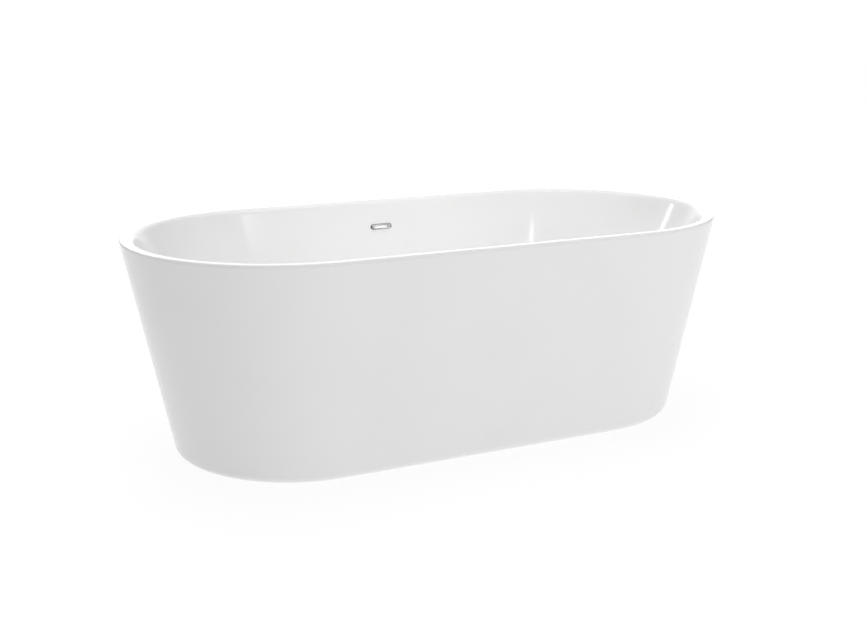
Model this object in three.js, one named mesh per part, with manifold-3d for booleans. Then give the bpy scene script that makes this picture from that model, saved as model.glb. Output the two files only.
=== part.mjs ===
// Freestanding double-wall bathtub: an acrylic basin bonded at its rim to a tapered outer skirt, standing on
// a welded steel frame with six screw-adjusted feet. A slotted overflow in the rear long wall runs through a
// hose to the waste under the middle of the floor, which a push-to-open plug closes.
// Millimetres. +X runs along the tub, +Y to the overflow side, +Z up; the origin is on the floor under the
// middle.
import * as THREE from "three";
import { mergeVertices } from "three/addons/utils/BufferGeometryUtils.js";
import Module from "manifold-3d";

const wasm = await Module();
wasm.setup();

// ---- Driving dimensions -----------------------------------------------------------------------------

// Overall body: pill-shaped in plan, with straight sides between half-round ends.
const LENGTH = 1700;
const WIDTH = 850;
const HEIGHT = 580;
const BASE_LENGTH = 1470; // where the tapered skirt would reach the floor
const BASE_WIDTH = 662;

// Basin.
const BASIN_WALL = 6.5;
const RIM_FLAT = 20; // level top of the rim, before it turns down into the basin
const RIM_OUTER_RADIUS = 4;
const RIM_INNER_RADIUS = 18;
const SIDE_LEAN = 0.343; // outward lean of the basin's long walls, per unit of height
const END_LEAN = 0.51; // the ends lean back further, as backrests
const SIDE_FLOOR_RADIUS = 70;
const END_FLOOR_RADIUS = 130;
const FLOOR_HEIGHT = 139; // basin floor at its edge, above the ground
const FLOOR_FALL = 3.5; // the floor falls this much to the waste

// Skirt.
const SKIRT_WALL = 5;
const SKIRT_CLEARANCE = 4; // from the ground to the skirt's lower edge
const TOE_RADIUS = 22;
const TOE_LIP = 12;
const TOP_FLANGE = 17; // the skirt's flange turns in under the rim
const GLUE_DEPTH = 2.1; // step in the flange that holds the adhesive
const GLUE_INSET = 6;

// Frame and floor board.
const BOARD_LENGTH = 960;
const BOARD_WIDTH = 330;
const BOARD_THICKNESS = 15;
const BOARD_WASTE_HOLE = 100;
const TUBE = 25;
const TUBE_WALL = 1.5;
const RAIL_LENGTH = 1120;
const RAIL_Y = 195;
const CROSS_X = [-400, -150, 150, 400];
const SCREW_X = 400; // the outer two cross tubes are screwed to the board
const SCREW_Y = 115;
const SCREW_DIAMETER = 5;
const SCREW_HEAD = 10;
const SCREW_HEAD_HEIGHT = 4;
const SCREW_BITE = 12; // into the board
const BRACKET_X = 280;
const BRACKET_WIDTH = 30;
const BRACKET_GAUGE = 3;
const BRACKET_TAB = 42;

// Feet.
const FOOT_X = [-500, 0, 500];
const STUD_DIAMETER = 12;
const PAD_DIAMETER = 50;
const PAD_HEIGHT = 14;
const PAD_EDGE = 1;
const PAD_SOCKET_FLOOR = 5;
const PAD_NECK_WALL = 1;
const NUT_FLATS = 19;
const WELD_NUT_HEIGHT = 10;
const LOCK_NUT_HEIGHT = 6;
const DRIVE_FLATS = 17;
const DRIVE_HEIGHT = 6;

// Waste.
const WASTE_HOLE = 52;
const FLANGE_DIAMETER = WASTE_HOLE + 20;
const FLANGE_THICKNESS = 2.2;
const FLANGE_EDGE = 0.8;
const DISH_DIAMETER = FLANGE_DIAMETER + 5;
const DISH_DEPTH = 2.5;
const TAIL_DIAMETER = WASTE_HOLE - 4;
const TAIL_WALL = 4;
const TAIL_BORE = TAIL_DIAMETER - 2 * TAIL_WALL;
const TAIL_LENGTH = 38;
const FLANGE_SEAT = TAIL_DIAMETER; // mouth of the conical seat
const HUB_DIAMETER = 22;
const HUB_DROP = 19; // from the flange's top down to the hub's top
const HUB_HEIGHT = 6;
const SPOKE_WIDTH = 4;
const CARTRIDGE_DIAMETER = 15;
const CARTRIDGE_RISE = 9;
const CARTRIDGE_DROP = 20;
const CARTRIDGE_COLLAR = 2.5;
const COLLAR_INSET = 1; // from the hub's edge
const CARTRIDGE_FLOOR = 3;
const CARTRIDGE_LID = 2;
const STEM_DIAMETER = 8;
const STEM_FOOT_DIAMETER = 10.6;
const STEM_FOOT_HEIGHT = 2;
const PLUG_TRAVEL = 9;
const SPRING_WIRE = 1.1;
const SPRING_DIAMETER = 9.8;
const SPRING_TURNS = 4;
const CAP_DIAMETER = FLANGE_DIAMETER - 8;
const CAP_RISE = 4.5;
const CAP_EDGE = 2;
const CAP_BOSS = FLANGE_SEAT - 12;
const CAP_BOSS_DEPTH = 3;
const CAP_CHAMFER = 0.6;
const STEM_ENTRY = 1; // the stem's end stands this far into the cap
const SEAL_DIAMETER = FLANGE_SEAT - 1.2;
const SEAL_DEPTH = 2.6;
const SEAL_LIP = 0.6;
const GASKET_THICKNESS = 2.4;
const GASKET_INSET = 1; // from the edge of the flange it lies under
const TEE_FLANGE = WASTE_HOLE + 20;
const TEE_FLANGE_THICKNESS = 5;
const TEE_DIAMETER = TAIL_DIAMETER + 8;
const TEE_BORE = TAIL_BORE - 2;
const TEE_BODY_LENGTH = 78;
const TEE_SHOULDER = 6; // height of the cone between the body and the outlet
const OUTLET_DIAMETER = 40;
const OUTLET_BORE = 34;
const OUTLET_LENGTH = 30;
const OUTLET_NUT_DIAMETER = 54;
const OUTLET_NUT_HEIGHT = 14;
const OUTLET_END = 12; // length of outlet left below the nut
const WASHER_HEIGHT = 5;
const WASHER_THICKNESS = 4;
const WASHER_EDGE = 1.5; // thickness at its lower edge
const PORT_REACH = 66;
const PORT_TURN = THREE.MathUtils.degToRad(25); // from +Y towards +X, to clear the middle foot

// Overflow and its hose.
const OVERFLOW_DROP = 77; // from the rim down to the slot's middle
const SLOT_WIDTH = 62;
const SLOT_HEIGHT = 10.5;
const TRIM_WIDTH = 69;
const TRIM_HEIGHT = 18;
const TRIM_THICKNESS = 2.5;
const SLEEVE_WALL = 1.8;
const SLEEVE_LENGTH = 14;
const OVERFLOW_GASKET = 2;
const OVERFLOW_GASKET_HEIGHT = 24;
const CHAMBER_WIDTH = 76;
const CHAMBER_TOP = 11;
const CHAMBER_BOTTOM = 15;
const CHAMBER_DEPTH = 27;
const CHAMBER_WALL = 2.2;
const CHAMBER_CORNER = 4;
const SPIGOT_DEPTH = 25; // from the basin's inner face back to the hose axis
const SPIGOT_LENGTH = 32;
const HOSE_BORE = 24;
const HOSE_DIAMETER = 30;
const HOSE_UNDER_RAIL = 5.4; // between the rail and the hose passing under it
const HOSE_BEHIND_BASIN = 4; // between the hose's top and the basin
const HOSE_SPREAD = 8; // how much further from the basin it stands at the foot of the wall
const HOSE_END = 1; // from the chamber, at its upper end
const HOSE_STOP = 4; // from the tee, at its lower end
// Shares of the hose's way down between the shells, with how far along X it has moved by then.
const HOSE_FALL = [[0.15, 0], [0.39, 8], [0.62, 26], [0.83, 48]];
const SPIGOT_WALL = 2.2;
const CLAMP_WIDTH = 9;
const CLAMP_GAUGE = 1.2;
const CLAMP_HOUSING = 7;

// Clearances.
const JOINT_GAP = 0.3; // between pieces that touch
const RUNNING_GAP = 0.35; // radial, round what slides or turns
const HOLE_GAP = 0.5; // radial, round what passes through
const SPIGOT_GAP = 0.9; // radial, between a spigot and its hose

// Roundness.
const END_STEPS = 24;
const ROUND_STEPS = 20;
const SMALL_STEPS = 12;
const SCREW_STEPS = 8;
const HOSE_STEPS = 12;
const PILL_STEPS = 7;
const PAD_STEPS = 14;
const CAP_STEPS = 24;
const LATCH_STEPS = 16;
const FINE_STEPS = 48;

// ---- Materials --------------------------------------------------------------------------------------

const finish = (color, roughness, metalness = 0) =>
  new THREE.MeshStandardMaterial({ color, roughness, metalness });
const ACRYLIC = finish(0xf2f2f0, 0.08);
const CHROME = finish(0xd8dadc, 0.08, 1);
const STEEL = finish(0xa9adb0, 0.35, 1);
const ZINC = finish(0xb9bcb8, 0.4, 1);
const PLYWOOD = finish(0xb98f5c, 0.7);
const RUBBER = finish(0x1c1c1c, 0.8);
const ADHESIVE = finish(0xe4e2da, 0.7);
const PLASTIC_WHITE = finish(0xe9e9e6, 0.4);
const PLASTIC_BLACK = finish(0x242526, 0.5);
const HOSE_PLASTIC = finish(0xd3d5d6, 0.45);

// ---- Solids -----------------------------------------------------------------------------------------

// A closed geometry as a solid that can be joined and cut.
function solidOf(geometry) {
  const bare = (geometry.index ? geometry.toNonIndexed() : geometry.clone())
    .deleteAttribute("normal")
    .deleteAttribute("uv");
  const merged = mergeVertices(bare, 1e-3);
  return new wasm.Manifold(
    new wasm.Mesh({
      numProp: 3,
      vertProperties: merged.attributes.position.array,
      triVerts: new Uint32Array(merged.index.array),
    }),
  );
}

function geometryOf(solid) {
  const { vertProperties, triVerts, numProp, numVert } = solid.getMesh();
  const points = new Float32Array(numVert * 3);
  for (let i = 0; i < numVert; i++) points.set(vertProperties.subarray(i * numProp, i * numProp + 3), i * 3);
  return new THREE.BufferGeometry()
    .setAttribute("position", new THREE.BufferAttribute(points, 3))
    .setIndex(new THREE.BufferAttribute(triVerts, 1));
}

const cut = (body, ...tools) =>
  geometryOf(tools.reduce((solid, tool) => solid.subtract(solidOf(tool)), solidOf(body)));
const join = (body, ...others) =>
  geometryOf(others.reduce((solid, other) => solid.add(solidOf(other)), solidOf(body)));

// A shape in X and Y made into a plate that starts at height z.
function plate(shape, height, z = 0, curveSegments = ROUND_STEPS / 2) {
  const options = { depth: height, bevelEnabled: false, curveSegments };
  return new THREE.ExtrudeGeometry(shape, options).translate(0, 0, z);
}

// A solid turned about Z from a closed profile of [radius, height] points.
function turned(profile, steps = ROUND_STEPS) {
  const points = profile.map(([radius, height]) => new THREE.Vector2(radius, height));
  if (!(profile[0][0] === 0 && profile.at(-1)[0] === 0)) points.push(points[0].clone());
  return new THREE.LatheGeometry(points, steps).rotateX(Math.PI / 2);
}

// A straight tube or washer about Z, from one height to another.
function tube(outerDiameter, bore, bottom, top, steps = ROUND_STEPS) {
  const [inner, outer] = [bore / 2, outerDiameter / 2];
  return turned([[inner, bottom], [outer, bottom], [outer, top], [inner, top]], steps);
}

// A round bar about Z.
function bar(diameter, bottom, top, steps = ROUND_STEPS) {
  return turned([[0, bottom], [diameter / 2, bottom], [diameter / 2, top], [0, top]], steps);
}

function roundHole(x, y, diameter) {
  return new THREE.Path().absarc(x, y, diameter / 2, 0, 2 * Math.PI, true);
}

function hexagon(acrossFlats) {
  const corner = acrossFlats / Math.sqrt(3);
  const points = Array.from({ length: 6 }, (_, i) =>
    new THREE.Vector2(corner, 0).rotateAround(new THREE.Vector2(), (i * Math.PI) / 3),
  );
  return new THREE.Shape(points);
}

// An outline with straight sides between half-round ends.
function pillShape(length, width, Kind = THREE.Shape) {
  const [straight, radius] = [(length - width) / 2, width / 2];
  return new Kind()
    .absarc(straight, 0, radius, -Math.PI / 2, Math.PI / 2, false)
    .absarc(-straight, 0, radius, Math.PI / 2, (3 * Math.PI) / 2, false);
}

function roundedRectangle(width, height, radius, Kind = THREE.Shape) {
  const [x, y] = [width / 2 - radius, height / 2 - radius];
  const quarter = Math.PI / 2;
  return new Kind()
    .absarc(x, y, radius, 0, quarter, false)
    .absarc(-x, y, radius, quarter, 2 * quarter, false)
    .absarc(-x, -y, radius, 2 * quarter, 3 * quarter, false)
    .absarc(x, -y, radius, 3 * quarter, 4 * quarter, false);
}

// A pill-shaped frame: a plate with a pill-shaped opening through it, each given as [length, width].
function pillFrame(outer, opening, height, z) {
  const shape = pillShape(...outer);
  shape.holes.push(pillShape(...opening, THREE.Path));
  return plate(shape, height, z, PILL_STEPS);
}

// ---- Pill-shaped shells -----------------------------------------------------------------------------

// Where a wall stands at height z, from the middle of the tub. The straight wall would reach `corner` at the
// tub's full height. It rounds over to a level edge at `top`, and rounds in to a level foot at `foot`.
function wallAt(z, { corner, lean, top, topRadius, foot, footRadius }) {
  const slant = Math.hypot(1, lean);
  const straight = (height) => corner - lean * (HEIGHT - height);
  const arc = (radius, rise) => Math.sqrt(Math.max(0, radius ** 2 - rise ** 2));
  const topCentre = top - topRadius;
  const footCentre = foot + footRadius;
  if (z > topCentre + (topRadius * lean) / slant)
    return straight(topCentre) + topRadius * slant - arc(topRadius, z - topCentre);
  if (z < footCentre - (footRadius * lean) / slant)
    return straight(footCentre) - footRadius * slant + arc(footRadius, footCentre - z);
  return straight(z);
}

// The same wall moved outwards by a thickness.
const thickened = (wall, by) => ({
  ...wall,
  corner: wall.corner + by * Math.hypot(1, wall.lean),
  top: wall.top - by,
  topRadius: wall.topRadius - by,
  foot: wall.foot - by,
  footRadius: wall.footRadius + by,
});

// Heights that follow a quarter round: close together where the surface is level.
const roundHeights = (from, radius, up, steps) =>
  Array.from({ length: steps + 1 }, (_, i) => {
    return from + up * radius * (1 - Math.cos((i / steps) * (Math.PI / 2)));
  });

// One turn round the pill outline with this half length and half width.
function pillLoop([halfLength, halfWidth, z]) {
  const straight = halfLength - halfWidth;
  return [1, -1].flatMap((side) =>
    Array.from({ length: END_STEPS + 1 }, (_, i) => {
      const turn = (i / END_STEPS - 0.5) * Math.PI;
      return [side * (straight + halfWidth * Math.cos(turn)), side * halfWidth * Math.sin(turn), z];
    }),
  );
}

// A shell lofted through pill outlines, each row being [half length, half width, height], with the material
// on the left as the rows go by. A ring's last row joins its first; a bowl's first and last rows close at a
// point over the middle, at the heights in `poles`.
function loft(rows, poles) {
  const loops = rows.map(pillLoop);
  const around = loops[0].length;
  const positions = loops.flat(2);
  const index = [];
  const rowPairs = poles ? loops.length - 1 : loops.length;
  for (let row = 0; row < rowPairs; row++) {
    const [here, next] = [row * around, ((row + 1) % loops.length) * around];
    for (let i = 0; i < around; i++) {
      const j = (i + 1) % around;
      index.push(here + i, here + j, next + j, here + i, next + j, next + i);
    }
  }
  if (poles) {
    const [first, last] = [positions.length / 3, positions.length / 3 + 1];
    positions.push(0, 0, poles[0], 0, 0, poles[1]);
    const end = (loops.length - 1) * around;
    for (let i = 0; i < around; i++) {
      const j = (i + 1) % around;
      index.push(first, j, i, last, end + i, end + j);
    }
  }
  return new THREE.BufferGeometry()
    .setAttribute("position", new THREE.Float32BufferAttribute(positions, 3))
    .setIndex(index);
}

// ---- Walls of the two shells ------------------------------------------------------------------------

const sideTaper = (WIDTH - BASE_WIDTH) / 2 / HEIGHT;
const endTaper = (LENGTH - BASE_LENGTH) / 2 / HEIGHT;

// The body is widest just under the rim's rounded edge.
const skirtWall = (half, lean) => ({
  corner: half + lean * RIM_OUTER_RADIUS,
  lean,
  top: HEIGHT,
  topRadius: 0,
  foot: SKIRT_CLEARANCE,
  footRadius: TOE_RADIUS,
});
const skirtSide = skirtWall(WIDTH / 2, sideTaper);
const skirtEnd = skirtWall(LENGTH / 2, endTaper);

const basinWall = (half, lean, footRadius) => ({
  corner: half - RIM_FLAT - RIM_INNER_RADIUS * (Math.hypot(1, lean) - lean),
  lean,
  top: HEIGHT,
  topRadius: RIM_INNER_RADIUS,
  foot: FLOOR_HEIGHT,
  footRadius,
});
const basinSide = basinWall(WIDTH / 2, SIDE_LEAN, SIDE_FLOOR_RADIUS);
const basinEnd = basinWall(LENGTH / 2, END_LEAN, END_FLOOR_RADIUS);

const wasteFloor = FLOOR_HEIGHT - FLOOR_FALL; // basin floor at the waste
const underside = wasteFloor - BASIN_WALL; // level underside of the basin floor
const underRim = HEIGHT - BASIN_WALL;
const boardTop = underside - JOINT_GAP;
const tubeTop = boardTop - BOARD_THICKNESS - JOINT_GAP;
const tubeMiddle = tubeTop - TUBE / 2;
const tubeBottom = tubeTop - TUBE;
const portHeight = tubeBottom - HOSE_UNDER_RAIL - HOSE_DIAMETER / 2; // the hose's lowest run
const overflowHeight = HEIGHT - OVERFLOW_DROP;

// ---- Basin ------------------------------------------------------------------------------------------

const basinBehind = (wall) => ({ ...thickened(wall, BASIN_WALL), foot: underside });

// The overflow's own frame: X along the tub, Y up the leaning wall, Z out of the wall into the basin.
const overflowFrame = new THREE.Matrix4()
  .makeRotationX(Math.atan2(1, SIDE_LEAN))
  .setPosition(0, wallAt(overflowHeight, basinSide), overflowHeight);

function basin() {
  const row = (z, side, end) => [wallAt(z, end), wallAt(z, side), z];
  const [backSide, backEnd] = [basinBehind(basinSide), basinBehind(basinEnd)];
  const outside = (z, inset = 0) => [wallAt(z, skirtEnd) - inset, wallAt(z, skirtSide) - inset, z];
  const inner = [
    ...roundHeights(FLOOR_HEIGHT, END_FLOOR_RADIUS, 1, 7),
    ...roundHeights(HEIGHT, RIM_INNER_RADIUS, -1, 4).reverse(),
  ].map((z) => row(z, basinSide, basinEnd));
  const edge = roundHeights(HEIGHT, RIM_OUTER_RADIUS, -1, 3).map((z) => {
    const rise = z - (HEIGHT - RIM_OUTER_RADIUS);
    return outside(z, RIM_OUTER_RADIUS - Math.sqrt(Math.max(0, RIM_OUTER_RADIUS ** 2 - rise ** 2)));
  });
  const behind = [
    ...roundHeights(underRim, RIM_INNER_RADIUS - BASIN_WALL, -1, 2),
    ...roundHeights(underside, END_FLOOR_RADIUS + BASIN_WALL, 1, 4).reverse(),
  ].map((z) => row(z, backSide, backEnd));
  const shell = loft([...inner, ...edge, outside(underRim), ...behind].reverse(), [underside, wasteFloor]);
  const dish = bar(DISH_DIAMETER, wasteFloor - DISH_DEPTH, FLOOR_HEIGHT + BASIN_WALL, FINE_STEPS);
  const hole = bar(WASTE_HOLE, underside - BASIN_WALL, FLOOR_HEIGHT);
  const slotSize = [SLOT_WIDTH, SLOT_HEIGHT].map((size) => size + 2 * (SLEEVE_WALL + HOLE_GAP));
  const slot = plate(pillShape(...slotSize), 4 * BASIN_WALL, -2 * BASIN_WALL, PILL_STEPS);
  return cut(shell, dish, hole, slot.applyMatrix4(overflowFrame));
}

// ---- Skirt and its bond -----------------------------------------------------------------------------

function skirt() {
  const [innerSide, innerEnd] = [thickened(skirtSide, -SKIRT_WALL), thickened(skirtEnd, -SKIRT_WALL)];
  const row = (z, side, end, inset = 0) => [wallAt(z, end) - inset, wallAt(z, side) - inset, z];
  const top = underRim - JOINT_GAP;
  const gluePlane = top - GLUE_DEPTH;
  const flangeBottom = gluePlane - SKIRT_WALL;
  const inside = SKIRT_CLEARANCE + SKIRT_WALL;
  const outer = [...roundHeights(SKIRT_CLEARANCE, TOE_RADIUS, 1, 5), top].map((z) =>
    row(z, skirtSide, skirtEnd),
  );
  const inner = [flangeBottom, ...roundHeights(inside, TOE_RADIUS - SKIRT_WALL, 1, 3).reverse()].map((z) =>
    row(z, innerSide, innerEnd),
  );
  const flange = [
    row(top, skirtSide, skirtEnd, GLUE_INSET),
    row(gluePlane, skirtSide, skirtEnd, GLUE_INSET),
    row(gluePlane, skirtSide, skirtEnd, TOP_FLANGE),
    row(flangeBottom, skirtSide, skirtEnd, TOP_FLANGE),
  ];
  const lip = [
    row(inside, innerSide, innerEnd, TOE_LIP),
    row(SKIRT_CLEARANCE, skirtSide, skirtEnd, TOE_LIP),
  ];
  return loft([...outer, ...flange, ...inner, ...lip]);
}

function rimBond() {
  const outline = (inset, z) => [wallAt(z, skirtEnd) - inset, wallAt(z, skirtSide) - inset, z];
  const [bottom, top] = [underRim - GLUE_DEPTH, underRim - JOINT_GAP];
  const [outer, inner] = [GLUE_INSET + JOINT_GAP, TOP_FLANGE - JOINT_GAP];
  return loft([outline(outer, bottom), outline(outer, top), outline(inner, top), outline(inner, bottom)]);
}

// ---- Floor board and frame --------------------------------------------------------------------------

const screwPlaces = [-SCREW_X, SCREW_X].flatMap((x) => [-SCREW_Y, SCREW_Y].map((y) => [x, y]));

function floorBoard() {
  const shape = pillShape(BOARD_LENGTH, BOARD_WIDTH);
  shape.holes.push(roundHole(0, 0, BOARD_WASTE_HOLE));
  const bottom = boardTop - BOARD_THICKNESS;
  const pilot = bar(SCREW_DIAMETER + 2 * JOINT_GAP, bottom - 1, bottom + SCREW_BITE + HOLE_GAP, SCREW_STEPS);
  const pilots = screwPlaces.map(([x, y]) => pilot.clone().translate(x, y, 0));
  return cut(plate(shape, BOARD_THICKNESS, bottom), ...pilots);
}

// A square tube along X about its own middle.
function squareTube(length) {
  const shape = roundedRectangle(TUBE, TUBE, TUBE_WALL);
  const bore = TUBE - 2 * TUBE_WALL;
  shape.holes.push(roundedRectangle(bore, bore, TUBE_WALL / 2, THREE.Path));
  return plate(shape, length, -length / 2, 2).rotateY(Math.PI / 2);
}

const studHole = STUD_DIAMETER + 2 * RUNNING_GAP;

// A long rail along X, with a nut welded under it over each foot.
function rail(y) {
  const tubeBody = squareTube(RAIL_LENGTH).translate(0, y, tubeMiddle);
  const nut = plate(hexagon(NUT_FLATS), WELD_NUT_HEIGHT + TUBE_WALL / 2, tubeBottom - WELD_NUT_HEIGHT);
  const hole = bar(studHole, tubeBottom - 2 * WELD_NUT_HEIGHT, tubeBottom + 2 * TUBE_WALL, SMALL_STEPS);
  const overFeet = (geometry) => FOOT_X.map((x) => geometry.clone().translate(x, y, 0));
  return cut(join(tubeBody, ...overFeet(nut)), ...overFeet(hole));
}

function crossTube(x) {
  const length = 2 * (RAIL_Y - TUBE / 2 - JOINT_GAP);
  const body = squareTube(length).rotateZ(Math.PI / 2).translate(x, 0, tubeMiddle);
  const hole = bar(SCREW_DIAMETER + 2 * HOLE_GAP, tubeBottom - 1, tubeTop + 1, SCREW_STEPS);
  const screws = screwPlaces.filter(([screwX]) => screwX === x);
  return cut(body, ...screws.map(([, y]) => hole.clone().translate(x, y, 0)));
}

// A hexagon-headed screw from under a cross tube up into the board.
function boardScrew() {
  const head = plate(hexagon(SCREW_HEAD), SCREW_HEAD_HEIGHT, tubeBottom - JOINT_GAP - SCREW_HEAD_HEIGHT);
  const shank = bar(SCREW_DIAMETER, tubeBottom - SCREW_HEAD_HEIGHT, tubeTop + SCREW_BITE, SCREW_STEPS);
  return join(head, shank);
}

// A bent strap from the rail's outer face to the inner face of the skirt, drawn for the +Y side.
function skirtBracket() {
  const inner = thickened(skirtSide, -SKIRT_WALL);
  const [low, high] = [tubeBottom, tubeBottom + BRACKET_GAUGE];
  const railFace = RAIL_Y + TUBE / 2 + JOINT_GAP;
  const skirtFace = (z) => wallAt(z, inner) - JOINT_GAP;
  const points = [
    [railFace, low],
    [skirtFace(low), low],
    [skirtFace(low + BRACKET_TAB), low + BRACKET_TAB],
    [skirtFace(low + BRACKET_TAB) - BRACKET_GAUGE, low + BRACKET_TAB],
    [skirtFace(high) - BRACKET_GAUGE, high],
    [railFace + BRACKET_GAUGE, high],
    [railFace + BRACKET_GAUGE, tubeTop],
    [railFace, tubeTop],
  ];
  const shape = new THREE.Shape(points.map(([y, z]) => new THREE.Vector2(y, z)));
  return plate(shape, BRACKET_WIDTH, -BRACKET_WIDTH / 2).applyMatrix4(
    new THREE.Matrix4().makeBasis(
      new THREE.Vector3(0, 1, 0),
      new THREE.Vector3(0, 0, 1),
      new THREE.Vector3(1, 0, 0),
    ),
  );
}

// ---- Feet -------------------------------------------------------------------------------------------

// Round pad that stands on the ground, with a socket in which the stud's end turns.
function footPad() {
  const socket = studHole / 2;
  const neck = DRIVE_FLATS / 2 + PAD_NECK_WALL;
  const edge = PAD_DIAMETER / 2;
  return turned([
    [0, 0],
    [edge - PAD_EDGE, 0],
    [edge, PAD_EDGE],
    [edge, PAD_HEIGHT / 3],
    [neck, PAD_HEIGHT],
    [socket, PAD_HEIGHT],
    [socket, PAD_SOCKET_FLOOR],
    [0, PAD_SOCKET_FLOOR],
  ], PAD_STEPS);
}

// Threaded stud with a hexagon to turn it by, screwed right in until it meets the inside of the rail.
function footStud() {
  const drive = plate(hexagon(DRIVE_FLATS), DRIVE_HEIGHT, PAD_HEIGHT + JOINT_GAP);
  const top = tubeTop - TUBE_WALL - JOINT_GAP;
  return join(drive, bar(STUD_DIAMETER, PAD_SOCKET_FLOOR + JOINT_GAP, top, SMALL_STEPS));
}

function lockNut() {
  const shape = hexagon(NUT_FLATS);
  shape.holes.push(roundHole(0, 0, studHole));
  const bottom = tubeBottom - WELD_NUT_HEIGHT - JOINT_GAP - LOCK_NUT_HEIGHT;
  return plate(shape, LOCK_NUT_HEIGHT, bottom, SMALL_STEPS / 2);
}

// ---- Waste ------------------------------------------------------------------------------------------

const flangeTop = wasteFloor - DISH_DEPTH + 2 * JOINT_GAP + GASKET_THICKNESS / 2 + FLANGE_THICKNESS;
const flangeUnder = flangeTop - FLANGE_THICKNESS;
const hubTop = flangeTop - HUB_DROP;
const cartridgeTop = hubTop + CARTRIDGE_RISE;
const cartridgeBottom = hubTop - CARTRIDGE_DROP;
const springBottom = cartridgeBottom + CARTRIDGE_FLOOR + JOINT_GAP;
const stemFoot = cartridgeTop - CARTRIDGE_LID - PLUG_TRAVEL - STEM_FOOT_HEIGHT - JOINT_GAP;
const capUnder = flangeTop + JOINT_GAP;
const teeTop = underside - 2 * JOINT_GAP - GASKET_THICKNESS;
const teeBottom = teeTop - TEE_BODY_LENGTH;
const outletBottom = teeBottom - OUTLET_LENGTH;

// Flange and threaded tail, with a spoked hub that holds the plug's cartridge.
function wasteFlange() {
  const diameters = [FLANGE_DIAMETER, FLANGE_SEAT, TAIL_BORE, TAIL_DIAMETER];
  const [outer, seat, bore, tail] = diameters.map((size) => size / 2);
  const tailBottom = flangeTop - TAIL_LENGTH;
  const body = turned([
    [bore, tailBottom],
    [tail, tailBottom],
    [tail, flangeUnder],
    [outer, flangeUnder],
    [outer, flangeUnder + FLANGE_EDGE],
    [outer - FLANGE_EDGE, flangeTop],
    [seat + FLANGE_EDGE, flangeTop],
    [seat, flangeTop - FLANGE_EDGE],
    [bore, flangeTop - FLANGE_EDGE - (seat - bore)],
  ]);
  const hub = bar(HUB_DIAMETER, hubTop - HUB_HEIGHT, hubTop);
  const spokes = [0, 1].map((turn) =>
    new THREE.BoxGeometry(TAIL_BORE + SPOKE_WIDTH / 2, SPOKE_WIDTH, HUB_HEIGHT - 1)
      .rotateZ((turn * Math.PI) / 2)
      .translate(0, 0, hubTop - HUB_HEIGHT / 2),
  );
  const seatForCartridge = bar(CARTRIDGE_DIAMETER + 2 * JOINT_GAP, hubTop - 2 * HUB_HEIGHT, hubTop + 1);
  return cut(join(body, hub, ...spokes), seatForCartridge);
}

const flangeGasket = () => {
  const bottom = wasteFloor - DISH_DEPTH + JOINT_GAP;
  return tube(FLANGE_DIAMETER - 2 * GASKET_INSET, WASTE_HOLE, bottom, bottom + GASKET_THICKNESS / 2);
};
const lowerGasket = () => {
  const bottom = teeTop + JOINT_GAP;
  return tube(TEE_FLANGE - 2 * GASKET_INSET, WASTE_HOLE, bottom, bottom + GASKET_THICKNESS);
};

// Fixed sleeve of the push-to-open latch, screwed into the hub. Its chamber holds the spring and the stem's
// foot.
function plugCartridge() {
  const outer = CARTRIDGE_DIAMETER / 2;
  const collar = HUB_DIAMETER / 2 - COLLAR_INSET;
  const chamber = STEM_FOOT_DIAMETER / 2 + RUNNING_GAP;
  const bore = STEM_DIAMETER / 2 + RUNNING_GAP;
  const collarBottom = hubTop + JOINT_GAP;
  return turned([
    [0, cartridgeBottom],
    [outer, cartridgeBottom],
    [outer, collarBottom],
    [collar, collarBottom],
    [collar, collarBottom + CARTRIDGE_COLLAR],
    [outer, collarBottom + CARTRIDGE_COLLAR],
    [outer, cartridgeTop],
    [bore, cartridgeTop],
    [bore, cartridgeTop - CARTRIDGE_LID],
    [chamber, cartridgeTop - CARTRIDGE_LID],
    [chamber, springBottom - JOINT_GAP],
    [0, springBottom - JOINT_GAP],
  ], LATCH_STEPS);
}

// Coil spring under the stem's foot, at its length with the plug shut.
function plugSpring() {
  const [bottom, top] = [springBottom + SPRING_WIRE / 2, stemFoot - JOINT_GAP - SPRING_WIRE / 2];
  const radius = (SPRING_DIAMETER - SPRING_WIRE) / 2;
  class Helix extends THREE.Curve {
    getPoint(t) {
      const turn = t * SPRING_TURNS * 2 * Math.PI;
      const height = bottom + t * (top - bottom);
      return new THREE.Vector3(radius * Math.cos(turn), radius * Math.sin(turn), height);
    }
  }
  const wire = new THREE.Shape().absarc(0, 0, SPRING_WIRE / 2, 0, 2 * Math.PI, false);
  return new THREE.ExtrudeGeometry(wire, {
    steps: SPRING_TURNS * 10,
    extrudePath: new Helix(),
    curveSegments: 3,
  });
}

function plugStem() {
  const [rod, foot] = [STEM_DIAMETER / 2, STEM_FOOT_DIAMETER / 2];
  return turned([
    [0, stemFoot],
    [foot, stemFoot],
    [foot, stemFoot + STEM_FOOT_HEIGHT],
    [rod, stemFoot + STEM_FOOT_HEIGHT],
    [rod, capUnder + STEM_ENTRY - JOINT_GAP],
    [0, capUnder + STEM_ENTRY - JOINT_GAP],
  ], LATCH_STEPS);
}

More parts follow.
